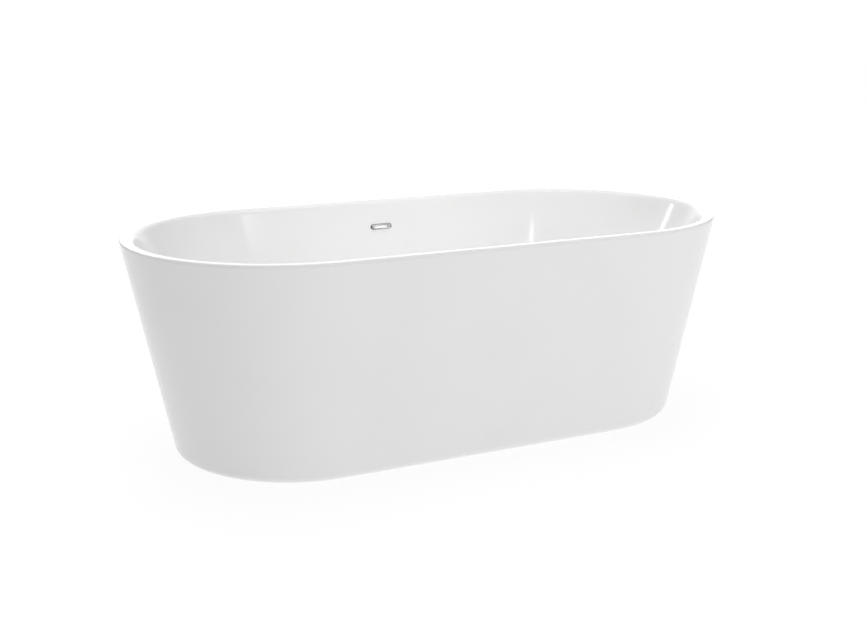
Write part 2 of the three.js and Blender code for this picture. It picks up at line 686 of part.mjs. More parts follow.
// Domed cap, with a boss under it that carries the seal and is bored for the stem's end.
function plugCap() {
  const [outer, boss, bore] = [CAP_DIAMETER / 2, CAP_BOSS / 2, STEM_DIAMETER / 2 + JOINT_GAP];
  const domeSteps = 6;
  const dome = Array.from({ length: domeSteps + 1 }, (_, i) => {
    const share = 1 - i / domeSteps;
    return [(outer - CAP_CHAMFER) * share, capUnder + CAP_EDGE + CAP_RISE * (1 - share ** 2)];
  });
  return turned([
    [0, capUnder + STEM_ENTRY],
    [bore, capUnder + STEM_ENTRY],
    [bore, capUnder - CAP_BOSS_DEPTH],
    [boss, capUnder - CAP_BOSS_DEPTH],
    [boss, capUnder],
    [outer - CAP_CHAMFER, capUnder],
    [outer, capUnder + CAP_CHAMFER],
    [outer, capUnder + CAP_EDGE - CAP_CHAMFER],
    ...dome,
  ], CAP_STEPS);
}

// Rubber ring round the cap's boss that closes on the flange's conical seat.
function plugSeal() {
  const [outer, inner] = [SEAL_DIAMETER / 2, CAP_BOSS / 2 + JOINT_GAP];
  const top = capUnder - JOINT_GAP;
  const [bottom, lip] = [top - SEAL_DEPTH, top - SEAL_LIP];
  const slope = lip - bottom;
  return turned([[inner, bottom], [outer - slope, bottom], [outer, lip], [outer, top], [inner, top]]);
}

// The overflow port's own frame: Z along the port, away from the tee.
const portFrame = new THREE.Matrix4()
  .makeRotationZ(-PORT_TURN)
  .multiply(new THREE.Matrix4().makeRotationX(-Math.PI / 2))
  .setPosition(0, 0, portHeight);

// Waste body under the floor: it takes the flange's tail, the overflow hose and the trap's pipe.
function wasteTee() {
  const [flange, body, outlet] = [TEE_FLANGE, TEE_DIAMETER, OUTLET_DIAMETER].map((size) => size / 2);
  const outside = turned([
    [0, outletBottom],
    [outlet, outletBottom],
    [outlet, teeBottom],
    [body, teeBottom + TEE_SHOULDER],
    [body, teeTop - TEE_FLANGE_THICKNESS],
    [flange, teeTop - TEE_FLANGE_THICKNESS],
    [flange, teeTop],
    [0, teeTop],
  ]);
  const tailBore = TAIL_DIAMETER + 2 * JOINT_GAP;
  const tailFloor = flangeTop - TAIL_LENGTH - JOINT_GAP;
  const waterway = turned([
    [0, outletBottom - 1],
    [OUTLET_BORE / 2, outletBottom - 1],
    [OUTLET_BORE / 2, teeBottom],
    [TEE_BORE / 2, teeBottom + TEE_SHOULDER],
    [TEE_BORE / 2, tailFloor],
    [tailBore / 2, tailFloor],
    [tailBore / 2, teeTop + 1],
    [0, teeTop + 1],
  ]);
  const spigot = HOSE_BORE - 2 * SPIGOT_GAP;
  const inTeeWall = (TEE_BORE + TEE_DIAMETER) / 4;
  const port = bar(spigot, inTeeWall, PORT_REACH).applyMatrix4(portFrame);
  const portBore = bar(spigot - 2 * SPIGOT_WALL, 0, PORT_REACH + 1).applyMatrix4(portFrame);
  return cut(join(outside, port), waterway, portBore);
}

const outletNutTop = outletBottom + OUTLET_END + OUTLET_NUT_HEIGHT;
const outletNut = () =>
  tube(OUTLET_NUT_DIAMETER, OUTLET_DIAMETER + 2 * JOINT_GAP, outletNutTop - OUTLET_NUT_HEIGHT, outletNutTop);

function outletWasher() {
  const bore = OUTLET_DIAMETER / 2 + JOINT_GAP;
  const top = outletBottom + OUTLET_END - JOINT_GAP;
  const bottom = top - WASHER_HEIGHT;
  return turned([
    [bore, bottom],
    [bore + WASHER_EDGE, bottom],
    [bore + WASHER_THICKNESS, top],
    [bore, top],
  ]);
}

// ---- Overflow ---------------------------------------------------------------------------------------

const wallBack = -BASIN_WALL; // depths behind the basin's inner face are negative
const gasketBack = wallBack - JOINT_GAP - OVERFLOW_GASKET;
const chamberFront = gasketBack - JOINT_GAP;
const sleeveSize = [SLOT_WIDTH + 2 * SLEEVE_WALL, SLOT_HEIGHT + 2 * SLEEVE_WALL];

// Chromed frame round the slot, with a sleeve through the wall.
function overflowTrim() {
  const slot = [SLOT_WIDTH, SLOT_HEIGHT];
  const face = pillFrame([TRIM_WIDTH, TRIM_HEIGHT], slot, TRIM_THICKNESS, JOINT_GAP);
  const sleeve = pillFrame(sleeveSize, slot, SLEEVE_LENGTH + JOINT_GAP + TRIM_THICKNESS / 2, -SLEEVE_LENGTH);
  return join(face, sleeve);
}

function overflowGasket() {
  const opening = sleeveSize.map((size) => size + 2 * HOLE_GAP);
  return pillFrame([CHAMBER_WIDTH, OVERFLOW_GASKET_HEIGHT], opening, OVERFLOW_GASKET, gasketBack);
}

// Hollow chamber behind the wall: the sleeve enters its front, and the hose's spigot leaves its underside.
function overflowChamber() {
  const height = CHAMBER_TOP + CHAMBER_BOTTOM;
  const middle = (CHAMBER_TOP - CHAMBER_BOTTOM) / 2;
  const box = (width, tall, deep, front) =>
    plate(roundedRectangle(width, tall, CHAMBER_CORNER), deep, front - deep, 3).translate(0, middle, 0);
  const outside = box(CHAMBER_WIDTH, height, CHAMBER_DEPTH, chamberFront);
  const wall = 2 * CHAMBER_WALL;
  const inside = box(CHAMBER_WIDTH - wall, height - wall, CHAMBER_DEPTH - wall, chamberFront - CHAMBER_WALL);
  const mouthSize = sleeveSize.map((size) => size + 2 * JOINT_GAP);
  const mouth = plate(pillShape(...mouthSize), 2 * wall, chamberFront - wall, PILL_STEPS);
  const spigotFrame = new THREE.Matrix4().makeRotationX(Math.PI / 2).setPosition(0, 0, -SPIGOT_DEPTH);
  const diameter = HOSE_BORE - 2 * SPIGOT_GAP;
  const [root, end] = [CHAMBER_BOTTOM - 2 * CHAMBER_WALL, CHAMBER_BOTTOM + SPIGOT_LENGTH];
  const spigot = bar(diameter, root + CHAMBER_WALL, end).applyMatrix4(spigotFrame);
  const bore = bar(diameter - 2 * SPIGOT_WALL, root - CHAMBER_WALL, end + 1).applyMatrix4(spigotFrame);
  return cut(join(outside, spigot), inside, mouth, bore);
}

// ---- Hose -------------------------------------------------------------------------------------------

// A point on an axis of one of the two hose spigots.
const alongSpigot = (distance) =>
  new THREE.Vector3(0, -(CHAMBER_BOTTOM + distance), -SPIGOT_DEPTH).applyMatrix4(overflowFrame);
const alongPort = (distance) => new THREE.Vector3(0, 0, distance).applyMatrix4(portFrame);

const hoseFoot = TEE_DIAMETER / 2 + HOSE_STOP;

// The hose's centre line, from the overflow down between the two shells and in under the frame to the waste.
function hoseRoute() {
  const spigotEnd = alongSpigot(SPIGOT_LENGTH);
  const fall = HOSE_FALL.map(([share, x]) => {
    const z = THREE.MathUtils.lerp(spigotEnd.z, tubeTop, share);
    const clear = HOSE_DIAMETER / 2 + HOSE_BEHIND_BASIN + HOSE_SPREAD * share;
    return new THREE.Vector3(x, wallAt(z, basinBehind(basinSide)) + clear, z);
  });
  const besideRail = (RAIL_Y + TUBE / 2 + wallAt(tubeTop, thickened(skirtSide, -SKIRT_WALL))) / 2;
  return new THREE.CatmullRomCurve3([
    alongSpigot(HOSE_END),
    spigotEnd,
    ...fall,
    new THREE.Vector3(72, besideRail, tubeTop),
    new THREE.Vector3(84, RAIL_Y + HOSE_DIAMETER, portHeight + HOSE_UNDER_RAIL),
    new THREE.Vector3(84, RAIL_Y - HOSE_DIAMETER / 2, portHeight),
    new THREE.Vector3(66, RAIL_Y - 68, portHeight),
    alongPort(PORT_REACH + HOSE_DIAMETER / 2),
    alongPort(PORT_REACH - HOSE_DIAMETER / 2),
    alongPort(hoseFoot),
  ]);
}

function overflowHose() {
  const section = new THREE.Shape().absarc(0, 0, HOSE_DIAMETER / 2, 0, 2 * Math.PI, false);
  section.holes.push(roundHole(0, 0, HOSE_BORE));
  const options = { steps: 30, extrudePath: hoseRoute(), curveSegments: HOSE_STEPS / 2 };
  return new THREE.ExtrudeGeometry(section, options);
}

// A worm-drive band about Z, its screw housing on one side.
function hoseClamp() {
  const bore = HOSE_DIAMETER + 2 * JOINT_GAP;
  const outer = bore + 2 * CLAMP_GAUGE;
  const band = tube(outer, bore, 0, CLAMP_WIDTH);
  const housing = new THREE.BoxGeometry(2 * CLAMP_HOUSING, CLAMP_HOUSING, CLAMP_WIDTH - 1).translate(
    0, outer / 2 + CLAMP_HOUSING / 2 - CLAMP_GAUGE / 2, CLAMP_WIDTH / 2,
  );
  return join(band, housing);
}

// ---- Assembly ---------------------------------------------------------------------------------------

const tub = new THREE.Group();

function add(name, geometry, material, parent = tub) {
  const mesh = new THREE.Mesh(geometry, material);
  mesh.name = name;
  parent.add(mesh);
  return mesh;
}

// A group that holds a frame given as a matrix.
function framed(matrix) {
  const group = new THREE.Group();
  group.applyMatrix4(matrix);
  tub.add(group);
  return group;
}

add("basin", basin(), ACRYLIC);
add("outer_skirt", skirt(), ACRYLIC);
add("rim_bond", rimBond(), ADHESIVE);
add("floor_board", floorBoard(), PLYWOOD);
add("rail_front", rail(-RAIL_Y), STEEL);
add("rail_rear", rail(RAIL_Y), STEEL);
CROSS_X.forEach((x, i) => add(`cross_tube_${i + 1}`, crossTube(x), STEEL));
screwPlaces.forEach(([x, y], i) => add(`board_screw_${i + 1}`, boardScrew(), ZINC).position.set(x, y, 0));
[[-1, 1], [1, 1], [-1, -1], [1, -1]].forEach(([along, side], i) => {
  const bracket = add(`skirt_bracket_${i + 1}`, skirtBracket(), ZINC);
  bracket.position.x = along * BRACKET_X;
  bracket.rotation.z = side > 0 ? 0 : Math.PI;
});

const footPlaces = FOOT_X.flatMap((x) => [-RAIL_Y, RAIL_Y].map((y) => [x, y]));
footPlaces.forEach(([x, y], i) => {
  add(`foot_pad_${i + 1}`, footPad(), PLASTIC_BLACK).position.set(x, y, 0);
  add(`foot_stud_${i + 1}`, footStud(), ZINC).position.set(x, y, 0);
  add(`lock_nut_${i + 1}`, lockNut(), ZINC).position.set(x, y, 0);
});

add("waste_flange", wasteFlange(), CHROME);
add("flange_gasket", flangeGasket(), RUBBER);
add("lower_gasket", lowerGasket(), RUBBER);
add("waste_tee", wasteTee(), PLASTIC_WHITE);
add("plug_cartridge", plugCartridge(), PLASTIC_WHITE);
add("plug_spring", plugSpring(), STEEL);
add("plug_stem", plugStem(), STEEL);
add("plug_cap", plugCap(), CHROME);
add("plug_seal", plugSeal(), RUBBER);
add("outlet_nut", outletNut(), PLASTIC_WHITE);
add("outlet_washer", outletWasher(), RUBBER);

const overflow = framed(overflowFrame);
add("overflow_trim", overflowTrim(), CHROME, overflow);
add("overflow_gasket", overflowGasket(), RUBBER, overflow);
add("overflow_chamber", overflowChamber(), PLASTIC_WHITE, overflow);
add("overflow_hose", overflowHose(), HOSE_PLASTIC);

const upperClamp = add("hose_clamp_upper", hoseClamp(), ZINC, overflow);
upperClamp.position.set(0, -(CHAMBER_BOTTOM + SPIGOT_LENGTH / 2 + CLAMP_WIDTH / 2), -SPIGOT_DEPTH);
upperClamp.rotation.set(-Math.PI / 2, 0, Math.PI / 2);
const port = framed(portFrame);
add("hose_clamp_lower", hoseClamp(), ZINC, port).position.z = (PORT_REACH + hoseFoot) / 2 - CLAMP_WIDTH / 2;

export default tub;
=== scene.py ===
"""A double-wall freestanding bathtub in a white studio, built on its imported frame."""

import logging
import math
from dataclasses import dataclass, field
from enum import Enum
from typing import Callable, Iterable, Optional, Sequence, Union

import bmesh
import bpy
from mathutils import Matrix, Vector


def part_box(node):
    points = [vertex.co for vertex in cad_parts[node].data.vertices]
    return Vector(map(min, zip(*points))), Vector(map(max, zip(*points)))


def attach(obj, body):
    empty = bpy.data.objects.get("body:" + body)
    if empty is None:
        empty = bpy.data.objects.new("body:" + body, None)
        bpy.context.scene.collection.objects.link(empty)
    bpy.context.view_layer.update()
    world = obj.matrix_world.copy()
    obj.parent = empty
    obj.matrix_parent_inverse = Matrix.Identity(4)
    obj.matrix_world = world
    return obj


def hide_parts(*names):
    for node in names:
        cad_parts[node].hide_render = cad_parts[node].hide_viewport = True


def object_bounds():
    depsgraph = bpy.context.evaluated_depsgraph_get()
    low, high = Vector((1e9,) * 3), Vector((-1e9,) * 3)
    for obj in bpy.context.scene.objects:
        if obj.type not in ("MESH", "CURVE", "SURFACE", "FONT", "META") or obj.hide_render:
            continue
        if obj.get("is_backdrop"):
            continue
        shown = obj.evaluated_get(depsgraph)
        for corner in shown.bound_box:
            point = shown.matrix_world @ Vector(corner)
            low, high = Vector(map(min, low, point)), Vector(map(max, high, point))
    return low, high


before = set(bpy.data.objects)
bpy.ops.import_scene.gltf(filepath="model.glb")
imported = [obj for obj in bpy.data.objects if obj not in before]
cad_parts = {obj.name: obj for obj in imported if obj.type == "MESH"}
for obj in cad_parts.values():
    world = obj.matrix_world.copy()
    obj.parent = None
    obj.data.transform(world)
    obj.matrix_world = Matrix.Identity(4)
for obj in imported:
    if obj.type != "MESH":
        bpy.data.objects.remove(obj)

Point2 = tuple[float, float]
Colour = tuple[float, float, float]
Link = Union[float, "Value", Colour, bpy.types.NodeSocket]

LOG = logging.getLogger("bathtub")
TUB = "tub"
PLUG = "plug"
FULL_TURN = 2 * math.pi
MM = 0.001
WELD = 2e-6
SAME_POINT = 1e-6
TURNED_MERGE = 5e-6
EDGE_ANGLE = 35.0
SHELL_ANGLE = 40.0
FRAME_ANGLE = 50.0
FOOT_ANGLE = 28.0
FIT = 0.0003
HEX_EASE = 0.93
HEX_DROP = 0.1


# ---- Shader arithmetic ----------------------------------------------------------------------------


class Value:
    """A number in a material's nodes that takes part in arithmetic."""

    def __init__(self, bench: "Bench", socket: bpy.types.NodeSocket) -> None:
        """Wraps a socket.

        Args:
            bench: The material's node bench.
            socket: The output socket that carries the number.
        """
        self.bench = bench
        self.socket = socket

    def _math(self, operation: str, *values: Link) -> "Value":
        """Adds one Math node.

        Args:
            operation: The node's operation.
            values: Its inputs, in order.

        Returns:
            The node's result.
        """
        node = self.bench.node("ShaderNodeMath", {"operation": operation}, dict(enumerate(values)))
        return Value(self.bench, node.outputs[0])

    def __add__(self, other: Link) -> "Value":
        """Sum."""
        return self._math("ADD", self, other)

    def __radd__(self, other: Link) -> "Value":
        """Sum with a plain number on the left."""
        return self._math("ADD", other, self)

    def __sub__(self, other: Link) -> "Value":
        """Difference."""
        return self._math("SUBTRACT", self, other)

    def __rsub__(self, other: Link) -> "Value":
        """Difference from a plain number."""
        return self._math("SUBTRACT", other, self)

    def __mul__(self, other: Link) -> "Value":
        """Product."""
        return self._math("MULTIPLY", self, other)

    def __rmul__(self, other: Link) -> "Value":
        """Product with a plain number on the left."""
        return self._math("MULTIPLY", other, self)

    def power(self, exponent: float) -> "Value":
        """This number to a power."""
        return self._math("POWER", self, exponent)

    def sine(self) -> "Value":
        """The sine of this number in radians."""
        return self._math("SINE", self)

    def size(self) -> "Value":
        """This number without its sign."""
        return self._math("ABSOLUTE", self)

    def ramp(self, low: float, high: float) -> "Value":
        """A smooth step.

        Args:
            low: Where the step starts, at 0.
            high: Where it ends, at 1.

        Returns:
            The step, clamped to 0 and 1.
        """
        settings = {"interpolation_type": "SMOOTHSTEP", "clamp": True}
        links = {"Value": self, "From Min": low, "From Max": high}
        node = self.bench.node("ShaderNodeMapRange", settings, links)
        return Value(self.bench, node.outputs[0])


class Bench:
    """Builds one material's nodes."""

    def __init__(self, name: str) -> None:
        """Starts an empty material with one shader.

        Args:
            name: The material's name.
        """
        self.material = bpy.data.materials.new(name)
        self.material.use_nodes = True
        self.tree = self.material.node_tree
        self.tree.nodes.clear()
        output = self.tree.nodes.new("ShaderNodeOutputMaterial")
        self.shader = self.tree.nodes.new("ShaderNodeBsdfPrincipled")
        self.tree.links.new(self.shader.outputs[0], output.inputs["Surface"])
        coordinates = self.tree.nodes.new("ShaderNodeTexCoord")
        self.place = coordinates.outputs["Object"]

    def node(self, kind: str, settings: dict, links: dict) -> bpy.types.Node:
        """Adds a node, sets it and then fills its sockets.

        Args:
            kind: The node's type.
            settings: Its properties by name.
            links: Its inputs by name or index, each a number, a colour or a link.

        Returns:
            The new node.
        """
        made = self.tree.nodes.new(kind)
        for key, value in settings.items():
            setattr(made, key, value)
        for key, value in links.items():
            self.fill(made.inputs[key], value)
        return made

    def fill(self, socket: bpy.types.NodeSocket, value: Link) -> None:
        """Sets or links one input socket.

        Args:
            socket: The input.
            value: A number, a colour, a wrapped value or an output socket.
        """
        source = value.socket if isinstance(value, Value) else value
        if isinstance(source, bpy.types.NodeSocket):
            self.tree.links.new(source, socket)
        elif isinstance(source, tuple) and len(source) == 3 and len(socket.default_value) == 4:
            socket.default_value = (*source, 1.0)
        else:
            socket.default_value = source

    def dress(self, **inputs: Link) -> None:
        """Fills the shader's sockets.

        Args:
            inputs: Values by socket name, with underscores for spaces.
        """
        for key, value in inputs.items():
            self.fill(self.shader.inputs[key.replace("_", " ")], value)

    def stretched(self, scale: Colour) -> bpy.types.NodeSocket:
        """The place on the object, stretched along its axes.

        Args:
            scale: Patterns per metre along each axis.

        Returns:
            The stretched vector.
        """
        return self.node("ShaderNodeMapping", {}, {"Vector": self.place, "Scale": scale}).outputs[0]

    def along(self, axis: str) -> Value:
        """One coordinate of the place on the object, in metres."""
        split = self.node("ShaderNodeSeparateXYZ", {}, {"Vector": self.place})
        return Value(self, split.outputs[axis])

    def noise(self, scale: float, detail: float = 2.0, vector: Optional[Link] = None) -> Value:
        """Soft noise from 0 to 1.

        Args:
            scale: Patterns per unit of the vector.
            detail: Number of finer layers.
            vector: Where to read it; the place on the object if left out.

        Returns:
            The noise.
        """
        links = {"Vector": vector or self.place, "Scale": scale, "Detail": detail, "Roughness": 0.5}
        return Value(self, self.node("ShaderNodeTexNoise", {}, links).outputs[0])

    def cells(self, scale: float) -> bpy.types.NodeSocket:
        """Random colours in irregular cells.

        Args:
            scale: Cells per metre.

        Returns:
            The cells' colour.
        """
        return self.node("ShaderNodeTexVoronoi", {}, {"Vector": self.place, "Scale": scale}).outputs["Color"]

    def mixed(self, share: Link, low: Link, high: Link) -> bpy.types.NodeSocket:
        """A colour between two others.

        Args:
            share: How much of the second colour.
            low: The first colour.
            high: The second colour.

        Returns:
            The mixed colour.
        """
        node = self.node("ShaderNodeMix", {"data_type": "RGBA"}, {})
        self.fill(node.inputs[0], share)
        self.fill(node.inputs[6], low)
        self.fill(node.inputs[7], high)
        return node.outputs[2]

    def bump(self, height: Link, depth: float) -> None:
        """Raises the surface by a pattern.

        Args:
            height: The pattern, from 0 to 1.
            depth: What 1 stands for, in metres.
        """
        links = {"Height": height, "Distance": depth, "Strength": 1.0}
        self.dress(Normal=self.node("ShaderNodeBump", {}, links).outputs[0])


# ---- Finishes -------------------------------------------------------------------------------------


@dataclass(frozen=True)
class Finish:
    """A surface finish that becomes one material."""

    name: str
    colour: Colour

    def paint(self, bench: Bench) -> None:
        """Adds the finish's nodes to the bench."""
        bench.dress(Base_Color=self.colour)

    def material(self) -> bpy.types.Material:
        """Makes the material the first time and finds it again after that.

        Returns:
            The material.
        """
        found = bpy.data.materials.get(self.name)
        if found:
            return found
        bench = Bench(self.name)
        self.paint(bench)
        return bench.material


@dataclass(frozen=True)
class GlossAcrylic(Finish):
    """Vacuum-formed sanitary acrylic: glassy, with a faint orange peel and polishing haze."""

    roughness: float = 0.1
    gloss: float = 0.35
    peel_scale: float = 90.0
    peel_depth: float = 0.00002
    sag_scale: float = 2.5
    sag_depth: float = 0.0006

    def paint(self, bench: Bench) -> None:
        """Adds the acrylic's nodes."""
        haze = bench.noise(5.0, 3.0)
        wipe = bench.noise(1.0, 4.0, bench.stretched((14.0, 14.0, 60.0)))
        warm = tuple(part * shift for part, shift in zip(self.colour, (0.985, 0.985, 0.98)))
        peel = bench.noise(self.peel_scale, 1.0) * (self.peel_depth / self.sag_depth)
        sag = bench.noise(self.sag_scale, 0.0)
        bench.dress(
            Base_Color=bench.mixed(haze.ramp(0.35, 0.75), self.colour, warm),
            Roughness=self.roughness + 0.03 * wipe + 0.03 * haze,
            IOR=1.49,
            Specular_IOR_Level=self.gloss,
        )
        bench.bump(peel + sag, self.sag_depth)


@dataclass(frozen=True)
class PolishedChrome(Finish):
    """Bright chrome plate with faint polishing lines and a film of water marks."""

    roughness: float = 0.07

    def paint(self, bench: Bench) -> None:
        """Adds the chrome's nodes."""
        lines = bench.noise(1.0, 2.0, bench.stretched((30.0, 900.0, 900.0)))
        marks = bench.noise(160.0, 3.0).ramp(0.55, 0.75)
        dull = tuple(part * 0.93 for part in self.colour)
        bench.dress(
            Base_Color=bench.mixed(marks * 0.6, self.colour, dull),
            Metallic=1.0,
            Roughness=self.roughness + 0.05 * marks + 0.02 * lines,
        )
        bench.bump(lines, 0.000004)


@dataclass(frozen=True)
class ZincCoat(Finish):
    """Zinc on steel: spangled in large cells when dipped, finely clouded when plated."""

    cells: float = 120.0
    roughness: float = 0.34

    def paint(self, bench: Bench) -> None:
        """Adds the zinc's nodes."""
        spangle = bench.node("ShaderNodeSeparateColor", {}, {"Color": bench.cells(self.cells)})
        tone = Value(bench, spangle.outputs[0])
        cloud = bench.noise(45.0, 4.0)
        scratch = bench.noise(1.0, 2.0, bench.stretched((1500.0, 60.0, 60.0))).ramp(0.62, 0.8)
        dark = tuple(part * 0.74 for part in self.colour)
        bench.dress(
            Base_Color=bench.mixed(0.55 * tone + 0.45 * cloud, dark, self.colour),
            Metallic=1.0,
            Roughness=self.roughness + 0.14 * tone - 0.08 * scratch,
        )
        bench.bump(cloud + 0.5 * scratch, 0.00003)


@dataclass(frozen=True)
class BirchPlywood(Finish):
    """Birch plywood: long grain on the faces and thin glued plies on the edges."""

    plies: float = 600.0
    dark: Colour = (0.38, 0.24, 0.12)

    def paint(self, bench: Bench) -> None:
        """Adds the plywood's nodes."""
        grain = bench.noise(1.0, 6.0, bench.stretched((4.0, 90.0, 20.0)))
        fibre = bench.noise(1.0, 3.0, bench.stretched((40.0, 1400.0, 400.0)))
        ply = (bench.along("Z") * (self.plies * FULL_TURN)).sine().ramp(0.2, 0.9)
        flank = bench.node("ShaderNodeSeparateXYZ", {}, {
            "Vector": bench.node("ShaderNodeNewGeometry", {}, {}).outputs["True Normal"],
        })
        edge = 1.0 - Value(bench, flank.outputs["Z"]).size().ramp(0.3, 0.7)
        shade = 0.5 * grain.ramp(0.4, 0.7) + 0.2 * fibre + 0.5 * (edge * ply)
        bench.dress(
            Base_Color=bench.mixed(shade, self.colour, self.dark),
            Roughness=0.62 + 0.2 * fibre,
        )
        bench.bump(fibre + grain, 0.00012)


@dataclass(frozen=True)
class Moulded(Finish):
    """Moulded plastic or rubber: spark-eroded grain, with flow lines and dust."""

    roughness: float = 0.42
    grain: float = 2600.0
    depth: float = 0.00002
    dust: float = 0.05

    def paint(self, bench: Bench) -> None:
        """Adds the moulding's nodes."""
        grain = bench.noise(self.grain, 1.0)
        flow = bench.noise(1.0, 3.0, bench.stretched((25.0, 25.0, 90.0)))
        dust = bench.noise(70.0, 4.0).ramp(0.5, 0.8)
        dusty = tuple(part + (0.5 - part) * 0.35 for part in self.colour)
        bench.dress(
            Base_Color=bench.mixed(dust * self.dust * 6.0 + 0.05 * flow, self.colour, dusty),
            Roughness=self.roughness + 0.1 * flow + 0.1 * dust,
        )
        bench.bump(grain + 0.6 * flow, self.depth)


class Finishes(Enum):
    """The tub's finishes, each with the record's material slot it belongs to."""

    ACRYLIC = (GlossAcrylic("white acrylic", (0.87, 0.87, 0.87)), "white_acrylic")
    CHROME = (PolishedChrome("polished chrome", (0.56, 0.565, 0.57)), "chrome")
    # A darker copy of the chrome, not a different plating: its lowered colour paints the dark reflection on
    # the overflow frame.
    DARK_CHROME = (PolishedChrome("satin chrome darkened for painted reflection", (0.4, 0.405, 0.41), 0.16), "chrome")
    FRAME_STEEL = (ZincCoat("galvanised tube", (0.6, 0.62, 0.63)), "frame_steel")
    ZINC_PLATE = (ZincCoat("bright zinc plate", (0.7, 0.7, 0.67), 900.0, 0.26), "zinc_steel")
    STAINLESS = (ZincCoat("stainless steel", (0.62, 0.62, 0.61), 2500.0, 0.2), "latch_steel")
    PLYWOOD = (BirchPlywood("birch plywood", (0.62, 0.44, 0.26)), "plywood")
    PASTE = (Moulded("bonding paste", (0.72, 0.7, 0.64), 0.6, 900.0, 0.00015), "adhesive")
    RUBBER = (Moulded("black rubber", (0.018, 0.018, 0.018), 0.62, 1800.0, 0.00003), "rubber")
    WHITE_PLASTIC = (Moulded("white plastic", (0.93, 0.93, 0.92), 0.3, dust=0.01), "white_plastic")
    BLACK_PLASTIC = (Moulded("black plastic", (0.022, 0.022, 0.023), 0.45), "black_plastic")
    HOSE = (Moulded("hose plastic", (0.6, 0.61, 0.62), 0.38, 1200.0), "hose_plastic")

    @property
    def slot(self) -> str:
        """The record's material slot."""
        return self.value[1]

    def material(self) -> bpy.types.Material:
        """The finish's material."""
        return self.value[0].material()


# ---- Hand tools -----------------------------------------------------------------------------------


def deselect_all() -> None:
    """Leaves edit mode and lets go of every object."""
    if bpy.context.object and bpy.context.object.mode != "OBJECT":
        bpy.ops.object.mode_set(mode="OBJECT")
    bpy.ops.object.select_all(action="DESELECT")


def hold(piece: bpy.types.Object) -> None:
    """Makes one object the selected and active one.

    Args:
        piece: The object.
    """
    deselect_all()
    piece.select_set(True)
    bpy.context.view_layer.objects.active = piece


def apply_modifier(piece: bpy.types.Object, kind: str, **settings: object) -> None:
    """Adds a modifier and applies it.

    Args:
        piece: The object.
        kind: The modifier's type.
        settings: Its properties.
    """
    modifier = piece.modifiers.new(kind.lower(), kind)
    for key, value in settings.items():
        setattr(modifier, key, value)
    hold(piece)
    bpy.ops.object.modifier_apply(modifier=modifier.name)


class Shaper:
    """Edit-mode work on one mesh, a selection at a time."""

    def __init__(self, piece: bpy.types.Object) -> None:
        """Opens a piece for editing.

        Args:
            piece: The object.
        """
        self.piece = piece
        hold(piece)
        bpy.ops.object.mode_set(mode="EDIT")
        bpy.ops.mesh.select_mode(type="VERT")

    def select(self, wanted: Callable[[int, Vector], bool]) -> list[int]:
        """Selects points by index and place.

        Args:
            wanted: Whether a point is wanted.

        Returns:
            The selected points' indices.
        """
        mesh = bmesh.from_edit_mesh(self.piece.data)
        mesh.verts.ensure_lookup_table()
        for part in (*mesh.verts, *mesh.edges, *mesh.faces):
            part.select = False
        chosen = [v for v in mesh.verts if wanted(v.index, v.co)]
        for point in chosen:
            point.select = True
        mesh.select_flush_mode()
        bmesh.update_edit_mesh(self.piece.data)
        return [v.index for v in chosen]

    def selected(self) -> dict[int, Vector]:
        """Places of the selected points by index."""
        mesh = bmesh.from_edit_mesh(self.piece.data)
        mesh.verts.index_update()
        return {v.index: v.co.copy() for v in mesh.verts if v.select}

    def close(self, merge: float, outwards: bool = True) -> bpy.types.Object:
        """Merges doubles, turns the faces outwards and leaves edit mode.

        Args:
            merge: The largest distance between doubles.
            outwards: Whether to work out the normals afresh.

        Returns:
            The piece.
        """
        bpy.ops.mesh.select_all(action="SELECT")
        bpy.ops.mesh.remove_doubles(threshold=merge)
        if outwards:
            bpy.ops.mesh.normals_make_consistent(inside=False)
        bpy.ops.object.mode_set(mode="OBJECT")
        return self.piece


@dataclass(frozen=True)
class Pill:
    """A pill outline: half its length, half its width and its height above the ground."""

    length: float
    width: float
    z: float

    @property
    def straight(self) -> float:
        """Half the straight side, never quite nothing."""
        return max(self.length - self.width, Loft.SLIVER)


